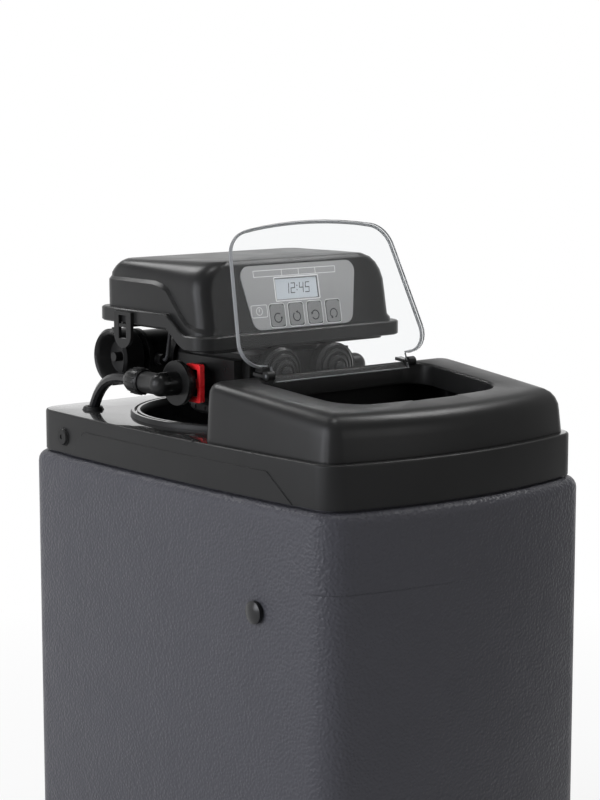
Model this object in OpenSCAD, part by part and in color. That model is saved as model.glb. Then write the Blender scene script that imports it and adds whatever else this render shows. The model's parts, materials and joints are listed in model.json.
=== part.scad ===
// Compact cabinet water softener: a resin tank with a control head stands in a
// salt cabinet, under a two-part top with a clear hinged salt lid.
// Origin at the centre of the base, +Z up, -Y is the front, millimetres.

/* [Cabinet] */
// Room between the resin tank and each outer side of the cabinet
side_room = 45; // [40:1:60]
// Room between the tank and the rear of the cabinet
rear_room = 55; // [50:1:70]
// Room between the tank and the front of the cabinet, which holds the salt
salt_room = 171; // [160:1:200]
// Height of the deck of the top cover above the floor
deck_h = 440; // [430:1:520]
// Wall of the cabinet
cab_wall = 4; // [3:0.5:6]
// Floor of the cabinet
cab_floor = 5; // [4:0.5:8]
// Radius of the upright corners of the cabinet
corner_r = 30; // [28:1:34]
// How far the front bulges
front_bow = 15; // [8:1:18]
// How far each side bulges
side_bow = 6; // [3:1:8]
// Rounding of the shoulder below the top cover
shoulder_r = 9; // [6:1:12]
// Height of the foot that the cabinet stands on
plinth_h = 6; // [4:1:10]
// How far the foot is set in
plinth_in = 3; // [2:1:6]
// Diameter of the spare side hole and of the overflow hole
side_hole_d = 16; // [12:1:20]
// Drop of the side holes below the deck
side_hole_drop = 121; // [100:1:140]
// Distance of the side holes behind the front of the cabinet
side_hole_in = 99; // [90:1:110]

/* [Top cover] */
// Height of the skirt
skirt_h = 34; // [28:1:40]
// How far the skirt is set in from the cabinet
skirt_in = 7; // [6:1:9]
// Wall of the skirt and of the deck
skirt_wall = 3; // [2:0.5:4]
// Rounding of the upper edge of the skirt
skirt_edge_r = 2; // [1:0.5:3]
// Gap between the skirt and the shoulder of the cabinet
skirt_gap = 2; // [1:0.5:3]
// Play between the skirt and the neck of the cabinet
neck_play = 1; // [0.5:0.5:2]
// How far the raised ring round the tank hole stands out past the tank
ring_out = 11; // [9:1:13]
// Width of that ring
ring_w = 9; // [7:1:10]
// Height of that ring
ring_h = 4; // [3:0.5:6]
// Width of the groove in the ring
ring_groove = 2.4; // [1.5:0.1:3]
// Height of the raised panel on each side of the skirt
panel_h = 22; // [18:1:24]
// How far that panel stands proud
panel_t = 0.8; // [0.5:0.1:1.2]
// Diameter of the round screw caps
cap_d = 14.5; // [12:0.5:16]
// Distance of the screw caps before the rear of the cabinet
cap_in = 53; // [48:1:63]
// Drop of the screw caps below the deck
cap_drop = 20; // [17:1:22]
// How far a screw cap stands proud
cap_t = 1.6; // [1:0.1:2.5]

/* [Salt collar] */
// Height of the collar above the deck at its rear
collar_h = 48; // [42:1:52]
// How much lower its front is
collar_fall = 15; // [8:1:18]
// How far the foot of the collar is set in from the skirt
collar_in = 6; // [5:1:7]
// How far its rear wall stands behind the front of the tank
collar_lap = 13; // [10:1:14]
// Wall of the collar
collar_wall = 3; // [2.5:0.5:3.5]
// Draft of its outer wall over the height
collar_draft = 2; // [1:0.5:3]
// Rounding of its upper edge at the front
collar_r = 17; // [14:1:19]
// Rounding of that edge at the rear
collar_rear_r = 10; // [7:1:11]
// Radius of its rear corners
collar_corner_r = 16; // [15:1:20]
// Width of the rim beside the salt mouth
rim_side = 42; // [40:1:48]
// Width of the rim in front of the mouth
rim_front = 43; // [41:1:50]
// Width of the rim behind the mouth
rim_rear = 13; // [12:0.5:14]
// Depth of the wall round the mouth
mouth_depth = 18; // [12:1:20]
// Width of the finger notch
notch_w = 48; // [30:1:56]
// Depth of the finger notch
notch_d = 4; // [3:0.5:5]

/* [Salt lid] */
// How far the lid covers the rim on each side, near its hinge
lid_lap_side = 8.5; // [6:0.5:9.5]
// How much narrower the lid is near its free edge
lid_taper = 23; // [16:1:34]
// How far the lid covers the rim in front of the mouth
lid_lap_front = 17; // [12:1:19]
// Thickness of the lid
lid_t = 3; // [2.5:0.5:3.5]
// How much narrower than the mouth the hinge tab is on each side
tab_in = 18; // [17:1:24]
// How far the hinge tab reaches below the axis
tab_tail = 6; // [5:0.5:6.5]
// Diameter of the hinge pins
pin_d = 3; // [2.5:0.5:3]
// Length of a hinge pin
pin_len = 7; // [6:0.5:8]
// Radial play of the pins and of the other shafts
shaft_play = 0.06; // [0.02:0.01:0.1]
// Angle by which the open lid leans back
lid_lean = 20; // [15:1:22]

/* [Resin tank] */
// Diameter of the resin tank
tank_d = 200; // [190:1:203]
// Wall of the tank
tank_wall = 3; // [2.5:0.5:4]
// Diameter of the threaded neck of the tank
neck_d = 80; // [76:1:86]
// Bore of the neck
neck_bore_d = 62; // [58:1:64]
// Height of the tank boot
boot_h = 60; // [50:1:90]
// Diameter of the riser tube
riser_d = 27; // [25:0.5:32]
// Wall of the riser tube
riser_wall = 2; // [1.5:0.5:3]

/* [Brine side] */
// Diameter of the brine well
well_d = 54; // [50:1:56]
// Gap between the brine well and the side wall of the cabinet
well_side_gap = 10; // [8:1:11]
// Gap between the brine well and the rear wall of the cabinet
well_rear_gap = 17; // [15:1:18]
// Distance of the tube grommet behind the axis of the brine well
grommet_in = 1; // [0:0.5:2]
// Wall of the brine well
well_wall = 2; // [1.5:0.5:2.5]
// Diameter of the brine tube
tube_d = 9.5; // [8:0.5:10]
// Diameter of the float
float_d = 42; // [36:1:46]
// Height of the float
float_h = 34; // [25:1:45]
// Travel of the float
float_travel = 30; // [20:1:40]
// Height of the float above the floor when it is down
float_z = 230; // [200:5:260]
// Diameter of the float rod
rod_d = 5; // [4:0.5:6]

/* [Control valve] */
// Radius of the flange that closes the tank
flange_r = 60; // [56:1:62]
// Radius of the barrel above the flange
barrel_r = 38; // [35:1:40]
// Height of the port axes above the deck
port_z = 46; // [45:1:46]
// Radius of the two front caps
front_cap_r = 20.5; // [18:0.5:21]
// Height of the centres of the front caps above the deck
front_cap_z = 43; // [42:0.5:43.5]
// Distance of each front cap from the middle
front_cap_x = 28.6; // [27:0.2:29]
// Height of the brine and drain sockets above the deck
socket_z = 33; // [32:0.5:34]
// Outer radius of a side socket
socket_r = 15; // [13:0.5:16]
// Reach of a side socket from the middle
socket_reach = 88; // [86:1:90]
// Diameter of the threads of the inlet and the outlet
pipe_d = 26.4; // [20:0.2:30]
// Bore of the inlet and of the outlet
pipe_bore_d = 18; // [14:1:20]
// Length of the inlet and outlet threads
pipe_len = 24; // [18:1:30]
// Distance of each pipe from the middle
pipe_x = 30; // [28:1:34]
// Radius of the bypass knob
knob_r = 24.5; // [20:0.5:26]
// Length of the bypass knob
knob_len = 25; // [20:1:26]

/* [Control head] */
// Half width of the head cover
head_half = 104; // [98:1:106]
// Distance of the front of the head before the axis of the tank
head_reach = 58; // [56:1:60]
// Depth of the head cover
head_d = 142; // [138:1:150]
// Height of its front top edge above the deck
head_top = 136; // [134:1:146]
// How much lower its rear top edge is
head_fall = 4; // [2:0.5:8]
// Rounding of its upper side edges at the front
head_r = 28; // [20:1:30]
// Rounding of those edges at the rear
head_rear_r = 8; // [6:1:14]
// Height of the lip at the front, above the deck
lip_front = 77; // [76:1:80]
// Height of the lip at the rear, above the deck
lip_rear = 92.5; // [90:0.5:96]
// Height of the lip itself
lip_h = 12; // [10:0.5:12.5]
// How far the lip stands out
lip_out = 5; // [3:0.5:6]
// Wall of the head cover
head_wall = 2.5; // [2:0.5:3]
// Depth of the S-shaped step in its sides
side_step = 3; // [2:0.5:4]
// Angle by which the front face leans back
face_lean = 11; // [8:1:14]
// Width of the display panel at its top
panel_top_w = 122; // [116:1:126]
// Width of the display panel at its foot
panel_foot_w = 108; // [104:1:114]
// Height of the display panel along the face
panel_len = 53; // [50:1:53]
// Thickness of the display panel
panel_thick = 0.8; // [0.6:0.1:1.2]
// Width of the display window
lcd_w = 45; // [40:1:48]
// Height of the display window
lcd_h = 17.5; // [14:0.5:18]
// Width of a key
key_w = 15; // [12:0.5:16]
// Height of a key
key_h = 18; // [14:0.5:18.5]
// Spacing of the keys
key_pitch = 20; // [18:0.5:21]
// Travel of a key
key_travel = 0.4; // [0.3:0.1:0.6]
// Number of teeth of the drive gear
gear_teeth = 48; // [36:4:48]
// Number of teeth of the pinion
pinion_teeth = 12; // [12:1:14]
// Tooth spacing of the gears along the pitch circle
tooth_pitch = 5.2; // [4.8:0.1:5.3]

/* [Hidden] */
$fn = 64;
// Overrun of every cut
eps = 0.5;
// Steps along a bulged edge, and round an upright corner
edge_steps = 8;
corner_steps = 7;
// Steps of a rounded edge
round_steps = 5;

// Cabinet round the tank, and what its sides, its front and its rear carry
cab_w = tank_d + 2 * side_room;
cab_d = tank_d + salt_room + rear_room;
tank_y = (salt_room - rear_room) / 2;
ring_r = tank_d / 2 + ring_out;
side_hole_y = cab_d / 2 - side_hole_in;
cap_y = cab_d / 2 - cap_in;
well_x = cab_w / 2 - plinth_in - cab_wall - well_side_gap - well_d / 2;
well_y = cab_d / 2 - plinth_in - cab_wall - well_rear_gap - well_d / 2;
grommet_y = well_y + grommet_in;
collar_rear = tank_d / 2 - tank_y - collar_lap;
mouth_half = cab_w / 2 - skirt_in - collar_in - rim_side;
mouth_front = cab_d / 2 - skirt_in - collar_in - rim_front;
mouth_rear = collar_rear + rim_rear;
lid_w = 2 * (mouth_half + lid_lap_side);
lid_tip_w = lid_w - lid_taper;
lid_len = mouth_front - mouth_rear - tab_tail + lid_lap_front;
tab_w = 2 * (mouth_half - tab_in);

function clamp01(v) = max(0, min(1, v));

// Plan of the cabinet: the centres of its four corners, front left first
corner_x = cab_w / 2 - corner_r - side_bow;
corner_rear = cab_d / 2 - corner_r;
corner_front = corner_rear - front_bow;
plan_c = [[-corner_x, -corner_front], [corner_x, -corner_front],
    [corner_x, corner_rear], [-corner_x, corner_rear]];
plan_bow = [front_bow, side_bow, 0, side_bow];
cab_top = deck_h - skirt_h - skirt_gap;
neck_in = skirt_in + skirt_wall + neck_play;
side_hole_z = deck_h - side_hole_drop;

// One edge of a plan at share t: a bulged line from p to q, pushed out by the corner radius
function edge_dir(p, q, bow, t) =
    let (d = q - p, n = [d.y, -d.x] / norm(d)) d + n * (4 * bow * (1 - 2 * t));
function edge_normal(p, q, bow, t) = let (e = edge_dir(p, q, bow, t)) [e.y, -e.x] / norm(e);
function edge_point(p, q, bow, rp, rq, t) =
    let (d = q - p, n = [d.y, -d.x] / norm(d))
    p + d * t + n * (4 * bow * t * (1 - t)) + edge_normal(p, q, bow, t) * (rp + (rq - rp) * t);
function heading(v) = atan2(v.y, v.x);
// A closed plan through four corner centres, with a bulge for each edge and a radius for each corner
function plan(c, bow, r) = [for (i = [0:3])
    let (j = (i + 1) % 4, k = (i + 2) % 4,
        from = heading(edge_normal(c[i], c[j], bow[i], 1)),
        to = heading(edge_normal(c[j], c[k], bow[j], 0)),
        turn = to < from ? to + 360 - from : to - from)
    each concat(
        [for (s = [0:edge_steps]) edge_point(c[i], c[j], bow[i], r[i], r[j], s / edge_steps)],
        [for (s = [1:corner_steps - 1]) let (a = from + turn * s / corner_steps)
            c[j] + r[j] * [cos(a), sin(a)]])];
function cab_plan(inset) = plan(plan_c, plan_bow, [for (i = [0:3]) corner_r - inset]);
function at_height(points, z) = [for (p = points) [p.x, p.y, z]];

function middle(ring) = [for (p = ring) 1] * ring / len(ring);
// A closed skin through rings of equal length; capped by fans, or joined end to end
module skin(rings, loop = false) {
    n = len(rings[0]);
    m = len(rings);
    last = loop ? m - 1 : m - 2;
    polyhedron(
        points = concat([for (r = rings) each r], loop ? [] : [middle(rings[0]), middle(rings[m - 1])]),
        faces = concat(
            [for (k = [0:last]) for (j = [0:n - 1])
                let (a = k * n, b = ((k + 1) % m) * n, i = (j + 1) % n)
                each [[a + j, b + j, b + i], [a + j, b + i, a + i]]],
            loop ? [] : [for (j = [0:n - 1]) [m * n, j, (j + 1) % n]],
            loop ? [] : [for (j = [0:n - 1]) [m * n + 1, (m - 1) * n + (j + 1) % n, (m - 1) * n + j]]),
        convexity = 8);
}

module prism(points, from, to) {
    translate([0, 0, from]) linear_extrude(to - from) polygon(points);
}

module rod_x(r, from, to) {
    translate([from, 0, 0]) rotate([0, 90, 0]) cylinder(r = r, h = to - from);
}

module rod_y(r, from, to) {
    translate([0, from, 0]) rotate([-90, 0, 0]) cylinder(r = r, h = to - from);
}

// The head and the valve have their own frame, whose y starts at the front of the head
module at_head() {
    translate([0, tank_y - head_reach, 0]) children();
}

module box(from, to) {
    translate(from) cube(to - from);
}

module both_sides() {
    children();
    mirror([1, 0, 0]) children();
}

// Cabinet: one hollow moulding with a rounded shoulder and a neck for the top cover
module cabinet() {
    body_top = cab_top - shoulder_r;
    color("#3f424c") difference() {
        union() {
            skin(concat([at_height(cab_plan(plinth_in), 0), at_height(cab_plan(plinth_in), plinth_h),
                    at_height(cab_plan(0), plinth_h)],
                [for (s = [0:round_steps]) let (a = 90 * s / round_steps)
                    at_height(cab_plan(shoulder_r * (1 - cos(a))), body_top + shoulder_r * sin(a))]));
            prism(cab_plan(neck_in), body_top - shoulder_r, deck_h - skirt_wall);
        }
        prism(cab_plan(cab_wall + plinth_in), cab_floor, body_top);
        prism(cab_plan(neck_in + cab_wall), body_top - eps, deck_h);
        translate([0, -side_hole_y, side_hole_z]) rod_x(side_hole_d / 2, -cab_w, cab_w);
        translate([0, cap_y, deck_h - cap_drop]) rod_x(screw_r, -cab_w, cab_w);
    }
}
screw_r = 2;

// Outer side of the bulged flank at distance y from the middle, without an inset
function flank(y) = let (t = (y + corner_front) / (corner_front + corner_rear))
    corner_x + corner_r + 4 * side_bow * t * (1 - t);

// Dome plug in the spare hole on the left
plug_dome_r = 9;
plug_dome_h = 3.5;
plug_flange_t = 1.5;
side_play = 0.15;
module side_plug() {
    x = flank(-side_hole_y + plug_dome_r);
    color("#1b1c1f") translate([-x - side_play, -side_hole_y, side_hole_z]) rotate([0, -90, 0]) {
        rotate_extrude() union() {
            square([plug_dome_r, plug_flange_t]);
            translate([0, plug_flange_t]) intersection() {
                square([plug_dome_r, plug_dome_h]);
                translate([0, plug_dome_h - plug_dome_r * plug_dome_r / plug_dome_h])
                    circle(r = plug_dome_r * plug_dome_r / plug_dome_h);
            }
        }
        translate([0, 0, -plug_stem]) cylinder(r = side_hole_d / 2 - side_play, h = plug_stem);
    }
}
plug_stem = 9;

// Overflow elbow with a hose barb on the right, held by a nut inside
barb_d = 14;
barb_bore_d = 10;
barb_len = 34;
elbow_flange_r = 12;
elbow_flange_t = 3;
elbow_out = 14;
nut_t = 6;
module overflow_elbow() {
    x = flank(-side_hole_y + elbow_flange_r) + side_play;
    color("#1b1c1f") translate([0, -side_hole_y, side_hole_z]) difference() {
        union() {
            rod_x(side_hole_d / 2 - side_play, x - plug_stem - nut_t, x);
            rod_x(elbow_flange_r, x, x + elbow_flange_t);
            rod_x(barb_d / 2, x, x + elbow_out);
            translate([x + elbow_out, 0, 0]) sphere(r = barb_d / 2);
            translate([x + elbow_out, 0, -barb_len]) cylinder(r = barb_d / 2 - side_play, h = barb_len);
            for (i = [1:3]) translate([x + elbow_out, 0, -barb_len + i * nut_t])
                cylinder(r1 = barb_d / 2 - side_play, r2 = barb_d / 2 + 1.5 * plug_flange_t, h = nut_t / 2);
        }
        rod_x(barb_bore_d / 2, x - plug_stem - nut_t - eps, x + elbow_out);
        translate([x + elbow_out, 0, -barb_len - eps]) cylinder(r = barb_bore_d / 2, h = barb_len + eps);
        translate([x + elbow_out, 0, 0]) sphere(r = barb_bore_d / 2);
    }
}

module overflow_nut() {
    x = flank(-side_hole_y - elbow_flange_r) - cab_wall - plinth_in - side_play;
    color("#26272b") translate([0, -side_hole_y, side_hole_z]) difference() {
        translate([x, 0, 0]) rotate([0, -90, 0]) cylinder(r = elbow_flange_r, h = nut_t, $fn = 6);
        rod_x(side_hole_d / 2, x - nut_t - eps, x + eps);
    }
}

// Top cover: skirt, deck, raised ring round the tank, raised side panels
panel_in = 66;
panel_reach = cab_d / 2 - panel_in;
panel_slant = 19;
module top_cover() {
    foot = deck_h - skirt_h;
    edge = deck_h - skirt_edge_r;
    color("#17181b") difference() {
        union() {
            skin(concat([at_height(cab_plan(skirt_in), foot)],
                [for (s = [0:round_steps]) let (a = 90 * s / round_steps)
                    at_height(cab_plan(skirt_in + skirt_edge_r * (1 - cos(a))),
                        edge + skirt_edge_r * sin(a))]));
            translate([0, tank_y, deck_h - skirt_wall / 2]) tank_ring();
            both_sides() side_panel(foot);
            both_sides() cap_seat();
        }
        prism(cab_plan(skirt_in + skirt_wall), foot - eps, deck_h - skirt_wall);
        translate([0, tank_y, foot]) cylinder(r = ring_r - ring_w, h = skirt_h + ring_h + eps, $fn = 128);
        salt_hole();
        along_tube() cylinder(r = grommet_hole_r, h = skirt_h, center = true);
        translate([0, cap_y, deck_h - cap_drop]) rod_x(screw_r, -cab_w, cab_w);
    }
}
// The brine tube passes the deck slanting down to the rear
tube_tilt = 30;
grommet_hole_r = 7;
module along_tube() {
    translate([-well_x, grommet_y, deck_h]) rotate([tube_tilt, 0, 0]) children();
}

module tank_ring() {
    in_r = ring_r - ring_w;
    mid = ring_r - ring_w / 2;
    top = skirt_wall / 2 + ring_h;
    rotate_extrude($fn = 128) polygon([[in_r - eps, 0], [ring_r, 0], [ring_r, top - ring_h / 2],
        [ring_r - ring_h / 4, top], [mid + ring_groove / 2, top], [mid + ring_groove / 2, top - ring_h / 2],
        [mid - ring_groove / 2, top - ring_h / 2], [mid - ring_groove / 2, top],
        [in_r + ring_h / 4, top], [in_r, top - ring_h / 2], [in_r - eps, top - ring_h / 2]]);
}

// Raised panel: a trapezoid over the flank, cut back to follow the bulge
module side_panel(foot) {
    intersection() {
        prism(cab_plan(skirt_in - panel_t), foot, foot + panel_h);
        translate([0, 0, foot]) rotate([90, 0, 90]) linear_extrude(cab_w)
            polygon([[-panel_reach, 0], [panel_reach, 0], [panel_reach - panel_slant, panel_h],
                [-panel_reach + panel_slant + panel_slant / 2, panel_h]]);
    }
}

module cap_seat() {
    intersection() {
        prism(cab_plan(skirt_in - panel_t), deck_h - cap_drop - cap_d, deck_h - skirt_edge_r);
        translate([0, cap_y, deck_h - cap_drop]) rod_x(cap_d / 2 + panel_t, 0, cab_w);
    }
}

// Hole in the deck below the collar, in front of the ring round the tank
hole_gap = 4;
module salt_hole() {
    rear = tank_y - ring_r - hole_gap;
    difference() {
        prism(mouth_plan(0), deck_h - skirt_h, deck_h + eps);
        box([-cab_w, rear, deck_h - skirt_h - eps], [cab_w, 0, deck_h + 2 * eps]);
    }
}

// Round caps with their screws, one on each side of the skirt
screw_len = 14;
module screw_caps() {
    x = flank(cap_y - cap_d / 2) - skirt_in + panel_t + side_play;
    color("#101114") both_sides() translate([x, cap_y, deck_h - cap_drop]) {
        difference() {
            rotate([0, 90, 0]) cylinder(r1 = cap_d / 2, r2 = cap_d / 2 - cap_t / 2, h = cap_t);
            rod_x(screw_r, cap_t / 2, cap_t + eps);
        }
        rod_x(screw_r - side_play, -screw_len, cap_t / 4);
    }
}

// Collar plan: front corners follow the cabinet, rear corners stand at the rear wall
collar_front_r = corner_r - skirt_in - collar_in;
collar_rear_c = -collar_rear - collar_corner_r;
collar_rear_x = flank(-collar_rear) - skirt_in - collar_in - collar_corner_r;
collar_c = [[-corner_x, -corner_front], [corner_x, -corner_front],
    [collar_rear_x, collar_rear_c], [-collar_rear_x, collar_rear_c]];
collar_side_share = (collar_rear_c + corner_front) / (corner_rear + corner_front);
collar_bow = [front_bow, side_bow * collar_side_share * collar_side_share, 0,
    side_bow * collar_side_share * collar_side_share];
collar_len = cab_d / 2 - skirt_in - collar_in - collar_rear;
collar_slope = atan(collar_fall / collar_len);
function collar_top(y) = deck_h + collar_h + (y + collar_rear) * collar_fall / collar_len;
function collar_plan(inset) = plan(collar_c, collar_bow,
    [collar_front_r - inset, collar_front_r - inset, collar_corner_r - inset, collar_corner_r - inset]);
function on_slope(points, drop) = [for (p = points) [p.x, p.y, collar_top(p.y) - drop]];
// The rounded upper edge at angle a of the rounding, a wall inside it; no corner gets sharper than the least
function round_in(r, a, wall) = collar_draft + r - (r - wall) * cos(a);
function round_down(r, a, wall) = r - (r - wall) * sin(a);
function collar_round(y) = let (t = clamp01((collar_rear_c - y) / (collar_rear_c + corner_front)))
    collar_rear_r + (collar_r - collar_rear_r) * t;
function collar_edge(a, wall) =
    let (front = collar_front_r - round_in(collar_r, a, wall),
        rear = collar_corner_r - round_in(collar_rear_r, a, wall), in = max(0, collar_least_r - front))
    [for (p = plan([collar_c[0] + [in, in], collar_c[1] + [-in, in], collar_c[2], collar_c[3]], collar_bow,
            [front + in, front + in, rear, rear]))
        [p.x, p.y, collar_top(p.y) - round_down(collar_round(p.y), a, wall)]];
collar_least_r = 4;
// Salt mouth: rounder at its front than at its rear
mouth_taper = 4;
mouth_bulge = 3;
mouth_front_r = 30;
mouth_rear_r = 20;
mouth_corner_r = [mouth_front_r, mouth_front_r, mouth_rear_r, mouth_rear_r];
mouth_c = [[-mouth_half + mouth_taper + mouth_front_r, -mouth_front + mouth_bulge + mouth_front_r],
    [mouth_half - mouth_taper - mouth_front_r, -mouth_front + mouth_bulge + mouth_front_r],
    [mouth_half - mouth_rear_r, -mouth_rear - mouth_rear_r],
    [-mouth_half + mouth_rear_r, -mouth_rear - mouth_rear_r]];
mouth_bow = [mouth_bulge, 0, 0, 0];
mouth_edge_r = 2.5;
function mouth_plan(grow) = plan(mouth_c, mouth_bow, [for (r = mouth_corner_r) r + grow]);

module salt_collar() {
    outer = [for (s = [0:round_steps]) collar_edge(90 * s / round_steps, 0)];
    mouth = [for (s = [0:round_steps - 2]) let (a = 90 * s / (round_steps - 2))
        on_slope(mouth_plan(mouth_edge_r * (1 - sin(a))), mouth_edge_r * (1 - cos(a)))];
    under = [on_slope(mouth_plan(0), mouth_depth), on_slope(mouth_plan(collar_wall), mouth_depth),
        on_slope(mouth_plan(collar_wall + mouth_edge_r), collar_wall + mouth_edge_r),
        on_slope(mouth_plan(collar_wall + 2 * mouth_edge_r), collar_wall),
        collar_edge(90, collar_wall), collar_edge(45, collar_wall), collar_edge(0, collar_wall),
        at_height(collar_plan(collar_wall), deck_h)];
    color("#191a1c") difference() {
        skin(concat([at_height(collar_plan(0), deck_h)], outer, mouth, under), loop = true);
        finger_notch();
        translate([0, tank_y, deck_h - eps])
            cylinder(r = ring_r + boot_play, h = ring_h + boot_play + eps, $fn = 128);
    }
}

module finger_notch() {
    y = -mouth_front - notch_d;
    box([-notch_w / 2, y, collar_top(y) - mouth_depth / 3],
        [notch_w / 2, -mouth_front + mouth_front_r, collar_top(0)]);
}

// Lid hinge: the axis lies just above the slope of the collar
lid_gap = 0.6;
axis_y = -mouth_rear - tab_tail;
axis_z = collar_top(axis_y) + (lid_t / 2 + lid_gap) / cos(collar_slope);
ear_t = 7;
ear_r = 4;
ear_gap = 0.4;
ear_back = 16;
ear_plate = 2.6;
module hinge_ears() {
    color("#17181b") both_sides() translate([tab_w / 2 + ear_gap, axis_y, axis_z]) difference() {
        rotate([90, 0, 90]) linear_extrude(ear_t) union() {
            circle(r = ear_r);
            rotate(collar_slope) translate([0, -lid_t / 2 - lid_gap]) square([ear_back, ear_plate]);
        }
        rod_x(pin_d / 2 + shaft_play, -ear_gap, ear_t + ear_gap);
    }
}

// Clear lid: a tapered sheet with an arched free edge, a hinge tab and two pins
lid_root_r = 19;
lid_tip_r = 24;
lid_arch = 5;
tab_rise = 7.5;
module lid_sheet() {
    root_y = tab_rise + lid_root_r;
    tip_y = lid_len - lid_arch - lid_tip_r;
    polygon(plan([[-lid_tip_w / 2 + lid_tip_r, -tip_y], [lid_tip_w / 2 - lid_tip_r, -tip_y],
        [lid_w / 2 - lid_root_r, -root_y], [-lid_w / 2 + lid_root_r, -root_y]],
        [lid_arch, 0, 0, 0], [lid_tip_r, lid_tip_r, lid_root_r, lid_root_r]));
    translate([-tab_w / 2, -2 * tab_rise]) square([tab_w, 2 * tab_rise + tab_tail]);
}

module salt_lid() {
    color([0.85, 0.9, 0.92, 0.35]) translate([0, axis_y, axis_z]) rotate([-90 - lid_lean, 0, 0]) {
        translate([0, 0, -lid_t / 2]) linear_extrude(lid_t) lid_sheet();
        both_sides() rod_x(pin_d / 2, tab_w / 2 - ear_gap, tab_w / 2 + pin_len);
    }
}

// Resin tank: a domed vessel with a threaded neck
tank_foot = 6;
dome_gap = 1;
tank_top = deck_h + 4 * dome_gap;
dome_h = 62;
neck_h = 22;
neck_round = 6;
dome_steps = 12;
function tank_side(grow) = let (r = tank_d / 2 - grow, neck_r = neck_d / 2 + neck_round)
    [for (s = [0:dome_steps]) let (a = 90 * s / dome_steps)
        [neck_r + (r - neck_r) * cos(a), tank_top - neck_h - dome_h + (dome_h - grow) * sin(a)]];
bottom_h = 45;
bottom_steps = 8;
function tank_bottom(grow) = let (r = tank_d / 2 - grow)
    [for (s = [0:bottom_steps]) let (a = 90 * s / bottom_steps)
        [r * sin(a), cab_floor + tank_foot + bottom_h - (bottom_h - grow) * cos(a)]];
module resin_tank() {
    color("#c9cbc9") translate([0, tank_y, 0]) rotate_extrude($fn = 96) difference() {
        polygon(concat(tank_bottom(0), tank_side(0),
            [[neck_d / 2, tank_top - neck_h + neck_round / 2], [neck_d / 2, tank_top], [0, tank_top]]));
        polygon(concat(tank_bottom(tank_wall), tank_side(tank_wall),
            [[neck_bore_d / 2, tank_top - neck_h - tank_wall], [neck_bore_d / 2, tank_top + eps],
                [0, tank_top + eps]]));
    }
}

boot_play = 0.3;
boot_wall = 4;
module tank_boot() {
    r = tank_d / 2 + boot_play;
    color("#1d1e20") translate([0, tank_y, cab_floor]) rotate_extrude($fn = 96) polygon([
        [r - 4 * boot_wall, 0], [r + boot_wall, 0], [r + boot_wall / 2, boot_h], [r, boot_h],
        [r, tank_foot + bottom_h], [r - boot_wall, tank_foot + bottom_h / 2],
        [r - 4 * boot_wall, tank_foot]]);
}

// Riser tube from the valve down to the bottom strainer
strainer_h = 60;
strainer_r = 24;
strainer_neck = 8;
riser_foot = cab_floor + tank_foot + bottom_h / 2;
riser_top = deck_h + 2 * riser_d / 3;
module riser_tube() {
    low = riser_foot + strainer_h - strainer_neck;
    color("#e6e6e2") translate([0, tank_y, low]) difference() {
        cylinder(r = riser_d / 2, h = riser_top - low);
        translate([0, 0, -eps]) cylinder(r = riser_d / 2 - riser_wall, h = deck_h);
    }
}

module slotted_cup(h, r, bore) {
    slot_h = h / 12;
    difference() {
        cylinder(r = r, h = h);
        translate([0, 0, riser_wall]) cylinder(r = bore, h = h);
        for (i = [1:4]) for (a = [0:30:150]) translate([0, 0, h * i / 6]) rotate([0, 0, a])
            translate([-2 * r, -slot_h, 0]) cube([4 * r, slot_h * 2, slot_h]);
    }
}

module bottom_strainer() {
    color("#d8d6cc") translate([0, tank_y, riser_foot]) {
        slotted_cup(strainer_h, strainer_r, strainer_r - riser_wall);
        translate([0, 0, strainer_h - strainer_neck]) difference() {
            cylinder(r = strainer_r, h = strainer_neck);
            translate([0, 0, -eps]) cylinder(r = riser_d / 2 + boot_play, h = strainer_h);
        }
    }
}

top_strainer_h = 30;
module top_strainer() {
    r = neck_bore_d / 2 - dome_gap;
    color("#d8d6cc") translate([0, tank_y, tank_top - top_strainer_h - neck_h]) difference() {
        cylinder(r = r, h = top_strainer_h + neck_h - thread_h);
        translate([0, 0, riser_wall]) cylinder(r = r - riser_wall, h = top_strainer_h + neck_h);
        translate([0, 0, -eps]) cylinder(r = riser_d / 2 + boot_play, h = top_strainer_h);
        for (a = [0:30:150]) rotate([0, 0, a]) translate([-neck_d, -dome_gap, top_strainer_h / 4])
            cube([2 * neck_d, 2 * dome_gap, top_strainer_h / 2]);
    }
}
thread_h = 16;

// Brine well with its safety float valve
slot_pitch = 18;
well_drop = 8;
well_top = cab_top - shoulder_r - well_drop;
module brine_well() {
    color("#dfe3e4") translate([-well_x, well_y, cab_floor]) difference() {
        cylinder(r = well_d / 2, h = well_top - cab_floor);
        translate([0, 0, well_wall]) cylinder(r = well_d / 2 - well_wall, h = deck_h);
        for (i = [1:4]) translate([0, 0, i * slot_pitch]) rotate([0, 0, 45 * i])
            translate([-well_d, -well_wall, 0]) cube([2 * well_d, 2 * well_wall, 2 * well_wall]);
    }
}

module well_cap() {
    rim_h = 4 * well_wall;
    color("#1b1c1f") translate([-well_x, well_y, well_top]) difference() {
        union() {
            cylinder(r = well_d / 2 + well_wall, h = 2 * well_wall);
            translate([0, 0, -rim_h]) cylinder(r = well_d / 2 - well_wall - boot_play, h = rim_h);
        }
        translate([0, 0, -rim_h - eps]) cylinder(r = well_d / 2 - 2 * well_wall, h = rim_h);
        translate([0, 0, -well_wall]) cylinder(r = well_d / 2 - 3 * well_wall, h = rim_h);
    }
}

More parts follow.
